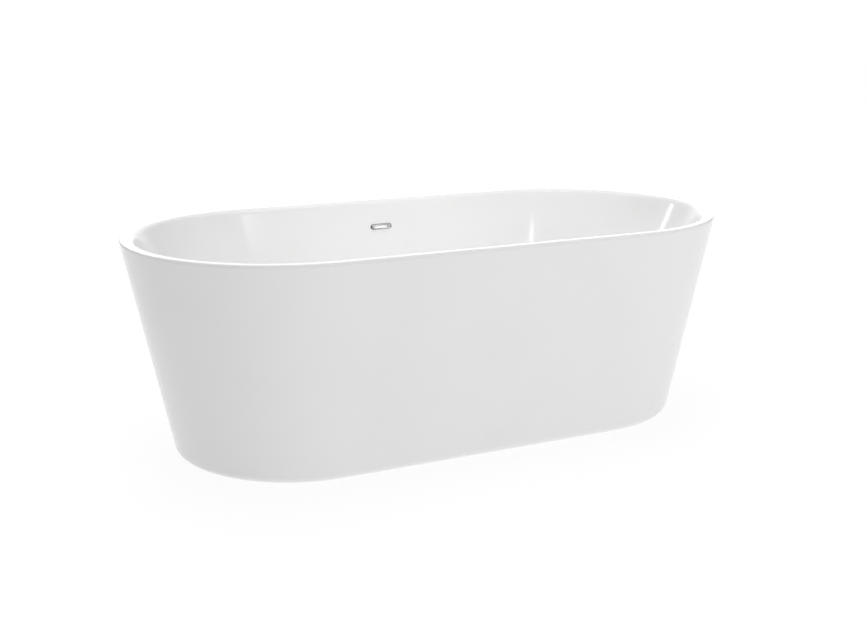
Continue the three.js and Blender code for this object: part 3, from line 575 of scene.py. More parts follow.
class Loft:
    """A closed shell drawn through pill outlines: a quarter is extruded ring by ring and mirrored."""

    SLIVER = 2e-5
    ON_AXIS = 5e-6
    MERGE = 4.5e-5

    def __init__(self, name: str, rings: Sequence[Pill], arc_steps: int) -> None:
        """Draws the shell; its last ring joins its first.

        Args:
            name: The piece's name.
            rings: The outlines in order, round the section.
            arc_steps: Edges in each quarter round.
        """
        self.shaper = self._first_ring(name, rings[0], arc_steps)
        for before, after in zip(rings, [*rings[1:], rings[0]]):
            self._next_ring(before, after)
        piece = self.shaper.close(self.SLIVER / 4, outwards=False)
        apply_modifier(piece, "MIRROR", use_axis=(True, True, False), merge_threshold=self.ON_AXIS)
        self.piece = Shaper(piece).close(self.MERGE)

    def _first_ring(self, name: str, ring: Pill, arc_steps: int) -> Shaper:
        """Draws a quarter of the first outline.

        Args:
            name: The piece's name.
            ring: The outline.
            arc_steps: Edges in the quarter round.

        Returns:
            The shaper that holds it.
        """
        deselect_all()
        bpy.ops.mesh.primitive_circle_add(vertices=4 * arc_steps, radius=ring.width)
        piece = bpy.context.object
        piece.name = piece.data.name = name
        shaper = Shaper(piece)
        shaper.select(lambda _, place: place.x < -self.ON_AXIS or place.y < -self.ON_AXIS)
        bpy.ops.mesh.delete(type="VERT")
        bpy.ops.mesh.select_all(action="SELECT")
        bpy.ops.transform.translate(value=(ring.straight, 0, ring.z))
        shaper.select(lambda _, place: place.x < ring.straight + self.ON_AXIS)
        step = {"value": (-ring.straight, 0, 0)}
        bpy.ops.mesh.extrude_vertices_move(TRANSFORM_OT_translate=step)
        bpy.ops.mesh.select_all(action="SELECT")
        return shaper

    def _next_ring(self, before: Pill, after: Pill) -> None:
        """Extrudes the selected outline to the next one.

        Args:
            before: The selected outline.
            after: The next outline.
        """
        step = {"value": (0, 0, after.z - before.z)}
        bpy.ops.mesh.extrude_region_move(TRANSFORM_OT_translate=step)
        grown = after.width / before.width
        bpy.ops.transform.resize(value=(1, grown, 1), center_override=(0, 0, 0))
        ring = self.shaper.selected()
        round_part = {i for i, place in ring.items() if place.x > self.ON_AXIS}
        self.shaper.select(lambda index, _: index in round_part)
        centre = (before.straight, 0, 0)
        bpy.ops.transform.resize(value=(grown, 1, 1), center_override=centre)
        bpy.ops.transform.translate(value=(after.straight - before.straight, 0, 0))
        self.shaper.select(lambda index, _: index in ring)


def turned(name: str, profile: Sequence[Point2], steps: int, at: Point2 = (0, 0)) -> bpy.types.Object:
    """Turns a closed profile round an upright axis.

    Args:
        name: The piece's name.
        profile: Radius and height of each corner, in order round the section.
        steps: Faces round the axis.
        at: Where the axis stands.

    Returns:
        The turned piece.
    """
    deselect_all()
    bpy.ops.mesh.primitive_circle_add(vertices=3, radius=MM)
    piece = bpy.context.object
    piece.name = piece.data.name = name
    shaper = Shaper(piece)
    shaper.select(lambda index, _: index > 0)
    bpy.ops.mesh.delete(type="VERT")
    start = shaper.select(lambda index, _: index == 0)
    here = shaper.selected()[start[0]]
    corners = [Vector((at[0] + radius, at[1], height)) for radius, height in profile]
    bpy.ops.transform.translate(value=corners[0] - here)
    closed = profile[0][0] > 0 or profile[-1][0] > 0
    route = [*corners, corners[0]] if closed else corners
    for before, after in zip(route, route[1:]):
        bpy.ops.mesh.extrude_vertices_move(TRANSFORM_OT_translate={"value": after - before})
    bpy.ops.mesh.select_all(action="SELECT")
    bpy.ops.mesh.remove_doubles(threshold=SAME_POINT)
    bpy.ops.mesh.spin(steps=steps, angle=FULL_TURN, center=(*at, 0), axis=(0, 0, 1))
    return shaper.close(TURNED_MERGE)


def hexagon(name: str, flats: float, low: float, high: float, at: Point2) -> bpy.types.Object:
    """Makes a hexagonal bar with its corners turned off at both ends.

    Args:
        name: The piece's name.
        flats: Width across its flats.
        low: Height of its lower end.
        high: Height of its upper end.
        at: Where its axis stands.

    Returns:
        The bar.
    """
    corner = flats / math.sqrt(3)
    eased, drop = corner * HEX_EASE, (high - low) * HEX_DROP
    profile = [(0, low), (eased, low), (corner, low + drop), (corner, high - drop), (eased, high), (0, high)]
    return turned(name, profile, 6, at)


def fused(name: str, first: bpy.types.Object, *others: bpy.types.Object) -> bpy.types.Object:
    """Fuses solids into one.

    Args:
        name: The fused piece's name.
        first: The solid that is kept.
        others: The solids added to it, which are used up.

    Returns:
        The fused piece.
    """
    for other in others:
        apply_modifier(first, "BOOLEAN", operation="UNION", object=other, solver="EXACT")
        bpy.data.objects.remove(other)
    first.name = first.data.name = name
    return first


def copied(piece: bpy.types.Object, name: str, shift: Vector) -> bpy.types.Object:
    """Copies a piece with its own mesh to another place.

    Args:
        piece: The object.
        name: The copy's name.
        shift: How far the copy's mesh is moved.

    Returns:
        The copy.
    """
    twin = piece.copy()
    twin.data = piece.data.copy()
    twin.name = twin.data.name = name
    bpy.context.scene.collection.objects.link(twin)
    twin.data.transform(Matrix.Translation(shift))
    return twin


def soften(piece: bpy.types.Object, width: float, segments: int = 2, angle: float = EDGE_ANGLE) -> None:
    """Rounds a new piece's edges and smooths its faces.

    Args:
        piece: The object.
        width: Width of the rounding.
        segments: Faces across it.
        angle: Edges sharper than this many degrees are rounded.
    """
    if width:
        apply_modifier(
            piece, "BEVEL", width=width, segments=segments, limit_method="ANGLE",
            angle_limit=math.radians(angle), use_clamp_overlap=True,
        )
    hold(piece)
    bpy.ops.object.shade_smooth_by_angle(angle=math.radians(angle))


def settle(piece: bpy.types.Object, finish: Finishes, body: str, *nodes: str) -> bpy.types.Object:
    """Finishes a new piece: its material, its body and the nodes it stands for.

    Args:
        piece: The object, its place in its mesh.
        finish: Its finish.
        body: The body it rides on.
        nodes: The frame's nodes it stands for.

    Returns:
        The piece.
    """
    piece.data.materials.clear()
    piece.data.materials.append(finish.material())
    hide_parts(*nodes)
    finish.slot
    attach(piece, body)
    LOG.info("%s: %d faces, %s", piece.name, len(piece.data.polygons), finish.value[0].name)
    return piece


def carry_over(node: str, finish: Finishes, edge: float = 0.0) -> None:
    """Dresses a piece of the frame as it is, with its edges eased.

    Args:
        node: The frame's node.
        finish: Its finish.
        edge: Width of the eased edge, or 0 for none.
    """
    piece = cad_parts[node]
    piece.data.materials.clear()
    piece.data.materials.append(finish.material())
    piece.data.polygons.foreach_set("use_smooth", [True] * len(piece.data.polygons))
    weld = piece.modifiers.new("weld", "WELD")
    weld.merge_threshold = WELD
    if edge:
        bevel = piece.modifiers.new("eased edges", "BEVEL")
        bevel.width = edge
        bevel.segments = 2
        bevel.limit_method = "ANGLE"
        bevel.angle_limit = math.radians(EDGE_ANGLE)
        bevel.harden_normals = True
    LOG.info("%s: carried over, %s", node, finish.value[0].name)


def eased_heights(start: float, radius: float, steps: int) -> list[float]:
    """Heights round a quarter circle, close together where it is level.

    Args:
        start: The level end.
        radius: The circle's radius, negative to go down.
        steps: Number of steps.

    Returns:
        The heights, in order.
    """
    return [start + radius * (1 - math.cos(i / steps * math.pi / 2)) for i in range(steps + 1)]


# ---- The two shells -------------------------------------------------------------------------------


@dataclass(frozen=True)
class Wall:
    """A leaning wall that rounds over to a level edge and in to a level foot."""

    corner: float
    lean: float
    full: float
    top: float
    top_radius: float
    foot: float
    foot_radius: float

    @property
    def slant(self) -> float:
        """Length of the wall's slope per unit of height."""
        return math.hypot(1, self.lean)

    def straight(self, z: float) -> float:
        """Where the straight wall would stand at a height."""
        return self.corner - self.lean * (self.full - z)

    def at(self, z: float) -> float:
        """Where the wall stands at a height.

        Args:
            z: The height.

        Returns:
            The distance from the tub's middle.
        """
        top_centre = self.top - self.top_radius
        foot_centre = self.foot + self.foot_radius
        if z > top_centre + self.top_radius * self.lean / self.slant:
            over = math.sqrt(max(0.0, self.top_radius**2 - (z - top_centre) ** 2))
            return self.straight(top_centre) + self.top_radius * self.slant - over
        if z < foot_centre - self.foot_radius * self.lean / self.slant:
            under = math.sqrt(max(0.0, self.foot_radius**2 - (foot_centre - z) ** 2))
            return self.straight(foot_centre) - self.foot_radius * self.slant + under
        return self.straight(z)

    def thickened(self, by: float, foot: Optional[float] = None) -> "Wall":
        """The same wall moved outwards.

        Args:
            by: The distance.
            foot: The new foot's height, if it isn't simply lower by the distance.

        Returns:
            The moved wall.
        """
        return Wall(
            self.corner + by * self.slant, self.lean, self.full, self.top - by, self.top_radius - by,
            self.foot - by if foot is None else foot, self.foot_radius + by,
        )


@dataclass
class Shells:
    """The basin and the skirt, and the paste between them."""

    base_length: float = 1.470
    base_width: float = 0.662
    basin_wall: float = 0.0065
    rim_flat: float = 0.020
    rim_outer: float = 0.004
    rim_inner: float = 0.018
    side_lean: float = 0.343
    end_lean: float = 0.51
    side_floor: float = 0.070
    end_floor: float = 0.130
    floor: float = 0.139
    floor_fall: float = 0.0035
    skirt_wall: float = 0.005
    toe: float = 0.022
    toe_lip: float = 0.012
    flange: float = 0.017
    glue_depth: float = 0.0021
    glue_inset: float = 0.006
    dish: float = 0.077
    dish_depth: float = 0.0025
    waste_hole: float = 0.052
    gap: float = 0.0003
    seam: float = 0.00005
    arc_steps: int = 40
    hole_edge: float = 0.0006
    dish_edge: float = 0.002
    lip_edge: float = 0.0006
    wall_bands: Sequence[float] = (0.30, 0.22, 0.15, 0.105, 0.05, 0.03)
    back_bands: Sequence[float] = (0.05, 0.105, 0.15, 0.3)
    half: Vector = field(init=False)
    ground_gap: float = field(init=False)

    def __post_init__(self) -> None:
        """Takes the overall size from the frame."""
        self.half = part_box("basin")[1]
        self.ground_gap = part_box("outer_skirt")[0].z

    def skirt_wall_line(self, half: float, base: float) -> Wall:
        """The skirt's outer face on a side or an end.

        Args:
            half: Half the overall size.
            base: The size where the taper would reach the ground.

        Returns:
            The face.
        """
        height = self.half.z
        lean = (half - base / 2) / height
        return Wall(half + lean * self.rim_outer, lean, height, height, 0.0, self.ground_gap, self.toe)

    def basin_wall_line(self, half: float, lean: float, floor_radius: float) -> Wall:
        """The basin's inner face on a side or an end.

        Args:
            half: Half the overall size.
            lean: The wall's lean.
            floor_radius: Radius between the wall and the floor.

        Returns:
            The face.
        """
        height = self.half.z
        turn = self.rim_inner * (math.hypot(1, lean) - lean)
        corner = half - self.rim_flat - turn
        return Wall(corner, lean, height, height, self.rim_inner, self.floor, floor_radius)

    @property
    def skirt(self) -> tuple[Wall, Wall]:
        """The skirt's outer face at the end and at the side."""
        return (
            self.skirt_wall_line(self.half.x, self.base_length),
            self.skirt_wall_line(self.half.y, self.base_width),
        )

    @property
    def inside(self) -> tuple[Wall, Wall]:
        """The basin's inner face at the end and at the side."""
        return (
            self.basin_wall_line(self.half.x, self.end_lean, self.end_floor),
            self.basin_wall_line(self.half.y, self.side_lean, self.side_floor),
        )

    @staticmethod
    def rings(walls: tuple[Wall, Wall], heights: Iterable[float], inset: float = 0.0) -> list[Pill]:
        """Outlines of a pair of walls.

        Args:
            walls: The wall at the end and at the side.
            heights: Where to take them.
            inset: How far inside the walls.

        Returns:
            The outlines.
        """
        end, side = walls
        return [Pill(end.at(z) - inset, side.at(z) - inset, z) for z in heights]

    def build_basin(self, slot: bpy.types.Object) -> bpy.types.Object:
        """Makes the basin with its rolled rim, dished waste and overflow slot.

        Args:
            slot: The solid that cuts the overflow's slot, which is used up.

        Returns:
            The basin.
        """
        height, floor = self.half.z, self.floor
        waste_floor = floor - self.floor_fall
        under, under_rim = waste_floor - self.basin_wall, height - self.basin_wall
        end, side = self.inside
        behind = (end.thickened(self.basin_wall, under), side.thickened(self.basin_wall, under))
        hole, dish = self.waste_hole / 2, self.dish / 2
        low = waste_floor - self.dish_depth
        mouth = hole + self.hole_edge
        drop = [Pill(hole, hole, under), Pill(hole, hole, low - self.hole_edge), Pill(mouth, mouth, low)]
        basin_floor = self._floor_rings(dish, waste_floor, end.at(floor), side.at(floor))
        wall_foot = eased_heights(floor, self.end_floor, 18)
        band = [height - down for down in self.wall_bands]
        rim = [*reversed(eased_heights(height, -self.rim_inner, 10))]
        flat = self.rings(self.skirt, [height], self.rim_flat * 0.5)
        edge = [self._edge_ring(z) for z in eased_heights(height, -self.rim_outer, 6)]
        lip = [
            *self.rings(self.skirt, [under_rim + 0.0008, under_rim + 0.0002]),
            *self.rings(self.skirt, [under_rim], self.lip_edge),
            *self.rings(self.skirt, [under_rim], self.rim_flat * 0.9),
        ]
        back = [
            *eased_heights(under_rim, -(self.rim_inner - self.basin_wall), 4),
            *(height - down for down in self.back_bands),
            *reversed(eased_heights(under, self.end_floor + self.basin_wall, 12)),
        ]
        rings = [
            *drop, Pill(dish - self.dish_edge, dish - self.dish_edge, low), *basin_floor,
            *self.rings(self.inside, [*wall_foot[1:], *band, *rim]),
            *flat, *edge, *lip, *self.rings(behind, back),
            Pill(dish + 0.05, dish + 0.049, under), Pill(hole + 0.004, hole + 0.004, under),
        ]
        basin = Loft("basin_shell", rings, self.arc_steps).piece
        apply_modifier(basin, "BOOLEAN", operation="DIFFERENCE", solver="EXACT", object=slot)
        bpy.data.objects.remove(slot)
        soften(basin, 0.0, angle=SHELL_ANGLE)
        return settle(basin, Finishes.ACRYLIC, TUB, "basin")

    def _edge_ring(self, z: float) -> Pill:
        """The rim's rounded outer edge at a height, nowhere wider than the whole tub.

        Args:
            z: The height.

        Returns:
            The outline.
        """
        rise = z - (self.half.z - self.rim_outer)
        bulge = math.sqrt(max(0.0, self.rim_outer**2 - rise**2)) - self.rim_outer
        end, side = self.skirt
        return Pill(min(end.at(z) + bulge, self.half.x), min(side.at(z) + bulge, self.half.y), z)

    def _floor_rings(self, dish: float, waste_floor: float, length: float, width: float) -> list[Pill]:
        """The floor's outlines, from the dish round the waste out to the walls.

        Args:
            dish: Radius of the dish.
            waste_floor: The floor's height at the dish.
            length: Half the floor's length.
            width: Half the floor's width.

        Returns:
            The outlines, from the middle outwards.
        """
        rounding = [(0.0, -self.dish_depth * 0.8), (0.0004, -0.0008), (0.0014, -0.0002), (0.003, 0.0)]
        shoulder = [Pill(dish + out, dish + out, waste_floor + up) for out, up in rounding]
        inner = dish + rounding[-1][0]
        steps = 9
        slope = []
        for step in range(1, steps + 1):
            share = step / steps
            rise = self.floor_fall * share
            slope.append(Pill(
                inner + (length - inner) * share, inner + (width - inner) * share, waste_floor + rise,
            ))
        return [*shoulder, *slope]

    def build_skirt(self) -> bpy.types.Object:
        """Makes the tapered outer shell with its turned-in toe and top flange.

        Returns:
            The skirt.
        """
        under_rim = self.half.z - self.basin_wall
        top = under_rim - self.seam
        glue = under_rim - self.gap - self.glue_depth
        flange_under = glue - self.skirt_wall
        floor = self.ground_gap + self.skirt_wall
        end, side = self.skirt
        inner = (end.thickened(-self.skirt_wall), side.thickened(-self.skirt_wall))
        toe = eased_heights(self.ground_gap, self.toe, 14)
        inner_toe = eased_heights(floor, self.toe - self.skirt_wall, 8)
        bands = [0.05, 0.12, 0.24, 0.38, 0.5, top - 0.02, top - 0.002, top - 0.0003]
        rings = [
            *self.rings(self.skirt, [*toe, *bands]),
            *self.rings(self.skirt, [top], 0.0003),
            *self.rings(self.skirt, [top, glue], self.glue_inset),
            *self.rings(self.skirt, [glue, flange_under], self.flange),
            *self.rings(inner, [flange_under, *reversed(bands[:5]), *reversed(inner_toe)]),
            *self.rings(inner, [floor], self.toe_lip),
            *self.rings(self.skirt, [self.ground_gap], self.toe_lip),
        ]
        skirt = Loft("skirt_shell", rings, self.arc_steps).piece
        soften(skirt, 0.0, angle=SHELL_ANGLE)
        return settle(skirt, Finishes.ACRYLIC, TUB, "outer_skirt")

    def dress_bond(self) -> None:
        """Dresses the paste under the rim."""
        carry_over("rim_bond", Finishes.PASTE)


# ---- Overflow -------------------------------------------------------------------------------------


@dataclass
class Overflow:
    """The slot through the rear wall, its chromed frame and the chamber and hose behind it."""

    shells: Shells
    height: float = 0.503
    slot_length: float = 0.062
    slot_width: float = 0.0105
    trim_length: float = 0.069
    trim_width: float = 0.018
    trim_rise: float = 0.0025
    sleeve_wall: float = 0.0018
    sleeve_length: float = 0.014
    clearance: float = 0.0005
    cutter_reach: float = 0.026
    cutter_point: float = 0.0002
    crown_steps: int = 8
    arc_steps: int = 14

    @property
    def place(self) -> Matrix:
        """The overflow's own frame: X along the tub, Y up the wall, Z out into the basin."""
        wall = self.shells.inside[1]
        turn = Matrix.Rotation(math.atan2(1, wall.lean), 4, "X")
        return Matrix.Translation((0, wall.at(self.height), self.height)) @ turn

    def build_cutter(self) -> bpy.types.Object:
        """Makes the solid that cuts the sleeve's slot in the wall.

        Returns:
            The solid.
        """
        spare = 2 * (self.sleeve_wall + self.clearance)
        length, width = (self.slot_length + spare) / 2, (self.slot_width + spare) / 2
        deep, inner = self.cutter_reach, self.cutter_point
        rings = [
            Pill(inner, inner, -deep), Pill(length, width, -deep), Pill(length, width, deep),
            Pill(inner, inner, deep),
        ]
        cutter = Loft("slot_cutter", rings, self.arc_steps).piece
        cutter.data.transform(self.place)
        return cutter

    def build_trim(self) -> bpy.types.Object:
        """Makes the chromed frame with its softly rounded face and its sleeve; its chrome is darkened all
        over to paint a dark reflection.

        Returns:
            The frame.
        """
        foot = self.shells.gap
        face = foot + self.trim_rise
        length, width = self.trim_length / 2, self.trim_width / 2
        slot_l, slot_w = self.slot_length / 2, self.slot_width / 2
        land = width - slot_w
        crown = []
        for step in range(self.crown_steps + 1):
            turn = math.pi * step / self.crown_steps
            across = land / 2 * (1 - math.cos(turn))
            rise = foot + self.trim_rise * (0.35 + 0.65 * math.sin(turn) ** 0.7)
            crown.append(Pill(length - across, width - across, min(rise, face)))
        wall = self.sleeve_wall
        rings = [
            Pill(length, width, foot), *crown,
            Pill(slot_l, slot_w, -self.sleeve_length),
            Pill(slot_l + wall, slot_w + wall, -self.sleeve_length),
            Pill(slot_l + wall, slot_w + wall, foot),
        ]
        trim = Loft("overflow_frame", rings, self.arc_steps).piece
        trim.data.transform(self.place)
        soften(trim, 0.0, angle=FRAME_ANGLE)
        # The frame's chrome is darkened all over to paint its dark reflection.
        settle(trim, Finishes.DARK_CHROME, TUB, "overflow_trim")
        trim.data.materials.append(Finishes.WHITE_PLASTIC.material())
        back = self.place.inverted()
        for face in trim.data.polygons:
            if (back @ face.center).z < foot:
                face.material_index = 1
        return trim

    def dress_rear(self) -> None:
        """Dresses what is behind the wall."""
        carry_over("overflow_gasket", Finishes.RUBBER, 0.0003)
        carry_over("overflow_chamber", Finishes.WHITE_PLASTIC, 0.0008)
        carry_over("overflow_hose", Finishes.HOSE)
        for clamp in ("hose_clamp_upper", "hose_clamp_lower"):
            carry_over(clamp, Finishes.ZINC_PLATE, 0.0003)


# ---- Waste and plug -------------------------------------------------------------------------------


@dataclass
class Waste:
    """The chromed flange in the dish, the push-to-open plug and the tee under the floor."""

    steps: int = 96
    cap_edge: float = 0.0007
    cap_rim: float = 0.002
    cap_boss: float = 0.018
    cap_bore: float = 0.0043
    cap_ease: float = 0.0003
    dome_steps: int = 14
    flange_edge: float = 0.0008
    flange_thickness: float = 0.0022
    edge_steps: int = 4
    tail_diameter: float = 0.048
    tail_bore: float = 0.04
    hub_diameter: float = 0.022
    hub_bore: float = 0.0156
    hub_height: float = 0.006
    spokes: int = 4
    spoke_width: float = 0.004
    spoke_bite: float = 0.001
    cartridge_drop: float = 0.02
    thread_pitch: float = 0.002
    thread_depth: float = 0.0008

    def build_cap(self) -> bpy.types.Object:
        """Makes the plug's domed cap with a rolled edge and a boss under it.

        Returns:
            The cap.
        """
        low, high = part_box("plug_cap")
        radius, edge = high.x, self.cap_rim
        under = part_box("plug_seal")[1].z + FIT
        boss, bore = self.cap_boss, self.cap_bore
        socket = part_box("plug_stem")[1].z + FIT
        dome = []
        for step in range(self.dome_steps + 1):
            share = 1 - step / self.dome_steps
            rise = (high.z - under - edge) * (1 - share**2)
            dome.append(((radius - self.cap_edge) * share, under + edge + rise))
        profile = [
            (0, socket), (bore, socket), (bore, low.z), (boss, low.z), (boss, under),
            (radius - self.cap_edge, under), (radius, under + self.cap_edge),
            (radius, under + edge - self.cap_edge), *dome,
        ]
        cap = turned("plug_dome", profile, self.steps)
        soften(cap, self.cap_ease)
        return settle(cap, Finishes.CHROME, PLUG, "plug_cap")

    def build_flange(self) -> bpy.types.Object:
        """Makes the flange with its conical seat, its tail and the spoked hub inside it.

        Returns:
            The flange.
        """
        low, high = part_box("waste_flange")
        outer, edge, thickness = high.x, self.flange_edge, self.flange_thickness
        tail, bore = self.tail_diameter / 2, self.tail_bore / 2
        under = high.z - thickness
        turns = [math.pi / 2 * step / self.edge_steps for step in range(self.edge_steps, -1, -1)]
        lip = [(outer - edge * (1 - math.sin(turn)), high.z - edge * (1 - math.cos(turn))) for turn in turns]
        profile = [
            (bore, low.z), (tail, low.z), *self._thread(tail, low.z, under), (tail, under), (outer, under),
            *lip, (tail + edge, high.z), (tail, high.z - edge), (bore, high.z - edge - (tail - bore)),
        ]
        body = turned("waste_ring", profile, self.steps)
        hub_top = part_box("plug_cartridge")[0].z + self.cartridge_drop
        hub_low, hub_bore, hub_outer = hub_top - self.hub_height, self.hub_bore / 2, self.hub_diameter / 2
        section = [(hub_bore, hub_low), (hub_outer, hub_low), (hub_outer, hub_top), (hub_bore, hub_top)]
        hub = turned("hub", section, self.steps // 2)
        reach = (hub_bore + self.spoke_bite, bore + self.spoke_bite)
        spokes = []
        for turn in range(self.spokes):
            deselect_all()
            bpy.ops.mesh.primitive_cube_add(size=1, location=(0, 0, 0))
            spoke = bpy.context.object
            height = self.hub_height - self.spoke_bite
            size = Matrix.Diagonal((reach[1] - reach[0], self.spoke_width, height, 1))
            away = Matrix.Translation((sum(reach) / 2, 0, hub_top - self.hub_height / 2))
            spoke.data.transform(Matrix.Rotation(turn * FULL_TURN / self.spokes, 4, "Z") @ away @ size)
            spokes.append(spoke)
        flange = fused("waste_ring", body, hub, *spokes)
        soften(flange, 0.0, angle=SHELL_ANGLE)
        return settle(flange, Finishes.CHROME, TUB, "waste_flange")

    def _thread(self, radius: float, low: float, high: float) -> list[Point2]:
        """Section of the tail's thread, from low to high.

        Args:
            radius: Radius over the crests.
            low: Height of its lower end.
            high: Height of its upper end.

        Returns:
            Its corners.
        """
        turns = int((high - low - 2 * self.thread_pitch) / self.thread_pitch)
        corners = []
        for turn in range(turns):
            foot = low + self.thread_pitch * (turn + 1)
            corners += [(radius, foot), (radius - self.thread_depth, foot + self.thread_pitch / 2)]
        return [*corners, (radius, low + self.thread_pitch * (turns + 1))]

    def dress_rest(self) -> None:
        """Dresses the rest of the waste."""
        carry_over("plug_seal", Finishes.RUBBER, 0.0003)
        carry_over("plug_stem", Finishes.STAINLESS, 0.0002)
        carry_over("plug_spring", Finishes.STAINLESS)
        carry_over("plug_cartridge", Finishes.WHITE_PLASTIC, 0.0002)
        carry_over("waste_tee", Finishes.WHITE_PLASTIC, 0.0006)
        carry_over("outlet_nut", Finishes.WHITE_PLASTIC, 0.0006)
        for ring in ("flange_gasket", "lower_gasket", "outlet_washer"):
            carry_over(ring, Finishes.RUBBER, 0.0002)


# ---- Frame and feet -------------------------------------------------------------------------------


@dataclass
class Chassis:
    """The plywood board, the welded tube frame and what fastens them."""

    def dress(self) -> None:
        """Dresses the frame's pieces."""
        carry_over("floor_board", Finishes.PLYWOOD, 0.0008)
        for node in ("rail_front", "rail_rear", *(f"cross_tube_{i}" for i in range(1, 5))):
            carry_over(node, Finishes.FRAME_STEEL, 0.0002)
        for i in range(1, 5):
            carry_over(f"board_screw_{i}", Finishes.ZINC_PLATE, 0.0003)
            carry_over(f"skirt_bracket_{i}", Finishes.ZINC_PLATE, 0.0004)


@dataclass
class Feet:
    """The levelling feet: each a pad, a threaded stud and its lock nut."""

    count: int = 6
    steps: int = 28
    stud_radius: float = 0.006
    pitch: float = 0.00175
    depth: float = 0.0009
    drive_flats: float = 0.017
    drive_height: float = 0.006
    pad_steps: int = 64
    pad_edge: float = 0.001
    pad_neck: float = 0.0095
    socket_radius: float = 0.00635
    socket_floor: float = 0.005
    ribs: int = 3
    rib_out: float = 0.0004
    rib_in: float = 0.0006
    rib_drop: float = 0.0008

    def build(self) -> None:
        """Makes one stud and one pad, and copies them to every foot."""
        stud, pad = self._stud(), self._pad()
        home = self._axis(1)
        for number in range(1, self.count + 1):
            shift = self._axis(number) - home
            for first, kind, finish, body in (
                (stud, "stud", Finishes.ZINC_PLATE, "stud"), (pad, "pad", Finishes.BLACK_PLASTIC, "foot"),
            ):
                piece = first if number == 1 else copied(first, f"{kind}_{number}", shift)
                settle(piece, finish, f"{body}_{number}", f"foot_{kind}_{number}")
            carry_over(f"lock_nut_{number}", Finishes.ZINC_PLATE, 0.0004)

    @staticmethod
    def _axis(number: int) -> Vector:
        """Where a foot's axis stands.

        Args:
            number: The foot's number.

        Returns:
            The place on the floor.
        """
        low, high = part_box(f"foot_stud_{number}")
        return Vector(((low.x + high.x) / 2, (low.y + high.y) / 2, 0))

    def _stud(self) -> bpy.types.Object:
        """Makes the first foot's stud: a plain neck in the pad, a hexagon and a thread above it.

        Returns:
            The stud.
        """
        low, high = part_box("foot_stud_1")
        at = self._axis(1)[:2]
        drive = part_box("foot_pad_1")[1].z + FIT
        start = drive + self.drive_height
        point = self.stud_radius - self.depth
        turns = int((high.z - start - self.pitch) / self.pitch)
        corners = [(0, low.z), (point, low.z), (self.stud_radius, low.z + self.depth)]
        for turn in range(turns):
            foot = start + self.pitch * turn
            corners += [(self.stud_radius, foot), (point, foot + self.pitch / 2)]
        corners += [(self.stud_radius, start + self.pitch * turns), (point, high.z), (0, high.z)]
        screw = turned("stud_1", corners, self.steps, at)
        return self._smoothed(fused("stud_1", screw, hexagon("drive", self.drive_flats, drive, start, at)))

    def _pad(self) -> bpy.types.Object:
        """Makes the first foot's pad, its flank stepped in rings for grip.

        Returns:
            The pad.
        """
        low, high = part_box("foot_pad_1")
        edge = high.x - self._axis(1).x
        shoulder, neck, ease = (high.z - low.z) / 3, self.pad_neck, self.pad_edge
        socket, floor = self.socket_radius, self.socket_floor
        flank = []
        for rib in range(self.ribs):
            share = (rib + 1) / (self.ribs + 1)
            radius = edge + (neck - edge) * share
            height = shoulder + (high.z - shoulder) * share
            flank += [(radius + self.rib_out, height - self.rib_drop),
                      (radius - self.rib_in, height - self.rib_drop / 2)]
        profile = [(0, low.z), (edge - ease, low.z), (edge, low.z + ease), (edge, shoulder), *flank,
                   (neck, high.z), (socket, high.z), (socket, floor), (0, floor)]
        return self._smoothed(turned("pad_1", profile, self.pad_steps, self._axis(1)[:2]))

    @staticmethod
    def _smoothed(piece: bpy.types.Object) -> bpy.types.Object:
        """Smooths a piece's round faces and keeps its corners.

        Args:
            piece: The object.

        Returns:
            The piece.
        """
        soften(piece, 0.0, angle=FOOT_ANGLE)
        return piece


# ---- Studio ---------------------------------------------------------------------------------------


class Gives(Enum):
    """What a lamp adds to the surfaces it reaches."""

    ALL = "all"
    LIGHT = "light"
    SHINE = "shine"


@dataclass(frozen=True)
class SoftBox:
    """A rectangular light that points at a place and isn't seen by the camera."""

    name: str
    place: Colour
    aim: Colour
    size: Point2
    power: float
    gives: Gives = Gives.ALL
    spread: float = 180.0

    def hang(self) -> None:
        """Hangs the light."""
        data = bpy.data.lights.new(self.name, "AREA")
        data.shape = "RECTANGLE"
        data.size, data.size_y = self.size
        data.energy = self.power
        data.spread = math.radians(self.spread)
        lamp = bpy.data.objects.new(self.name, data)
        bpy.context.scene.collection.objects.link(lamp)
        lamp.location = self.place
        lamp.rotation_euler = (Vector(self.aim) - lamp.location).to_track_quat("-Z", "Y").to_euler()
        lamp.visible_camera = False
        lamp.visible_glossy = self.gives is not Gives.LIGHT
        lamp.visible_diffuse = self.gives is not Gives.SHINE
        LOG.info("%s: %g W", self.name, self.power)


@dataclass(frozen=True)
class Glow:
    """Light from one side of the room, fading smoothly away from it."""

    towards: Colour
    start: float
    end: float
    low: float
    high: float


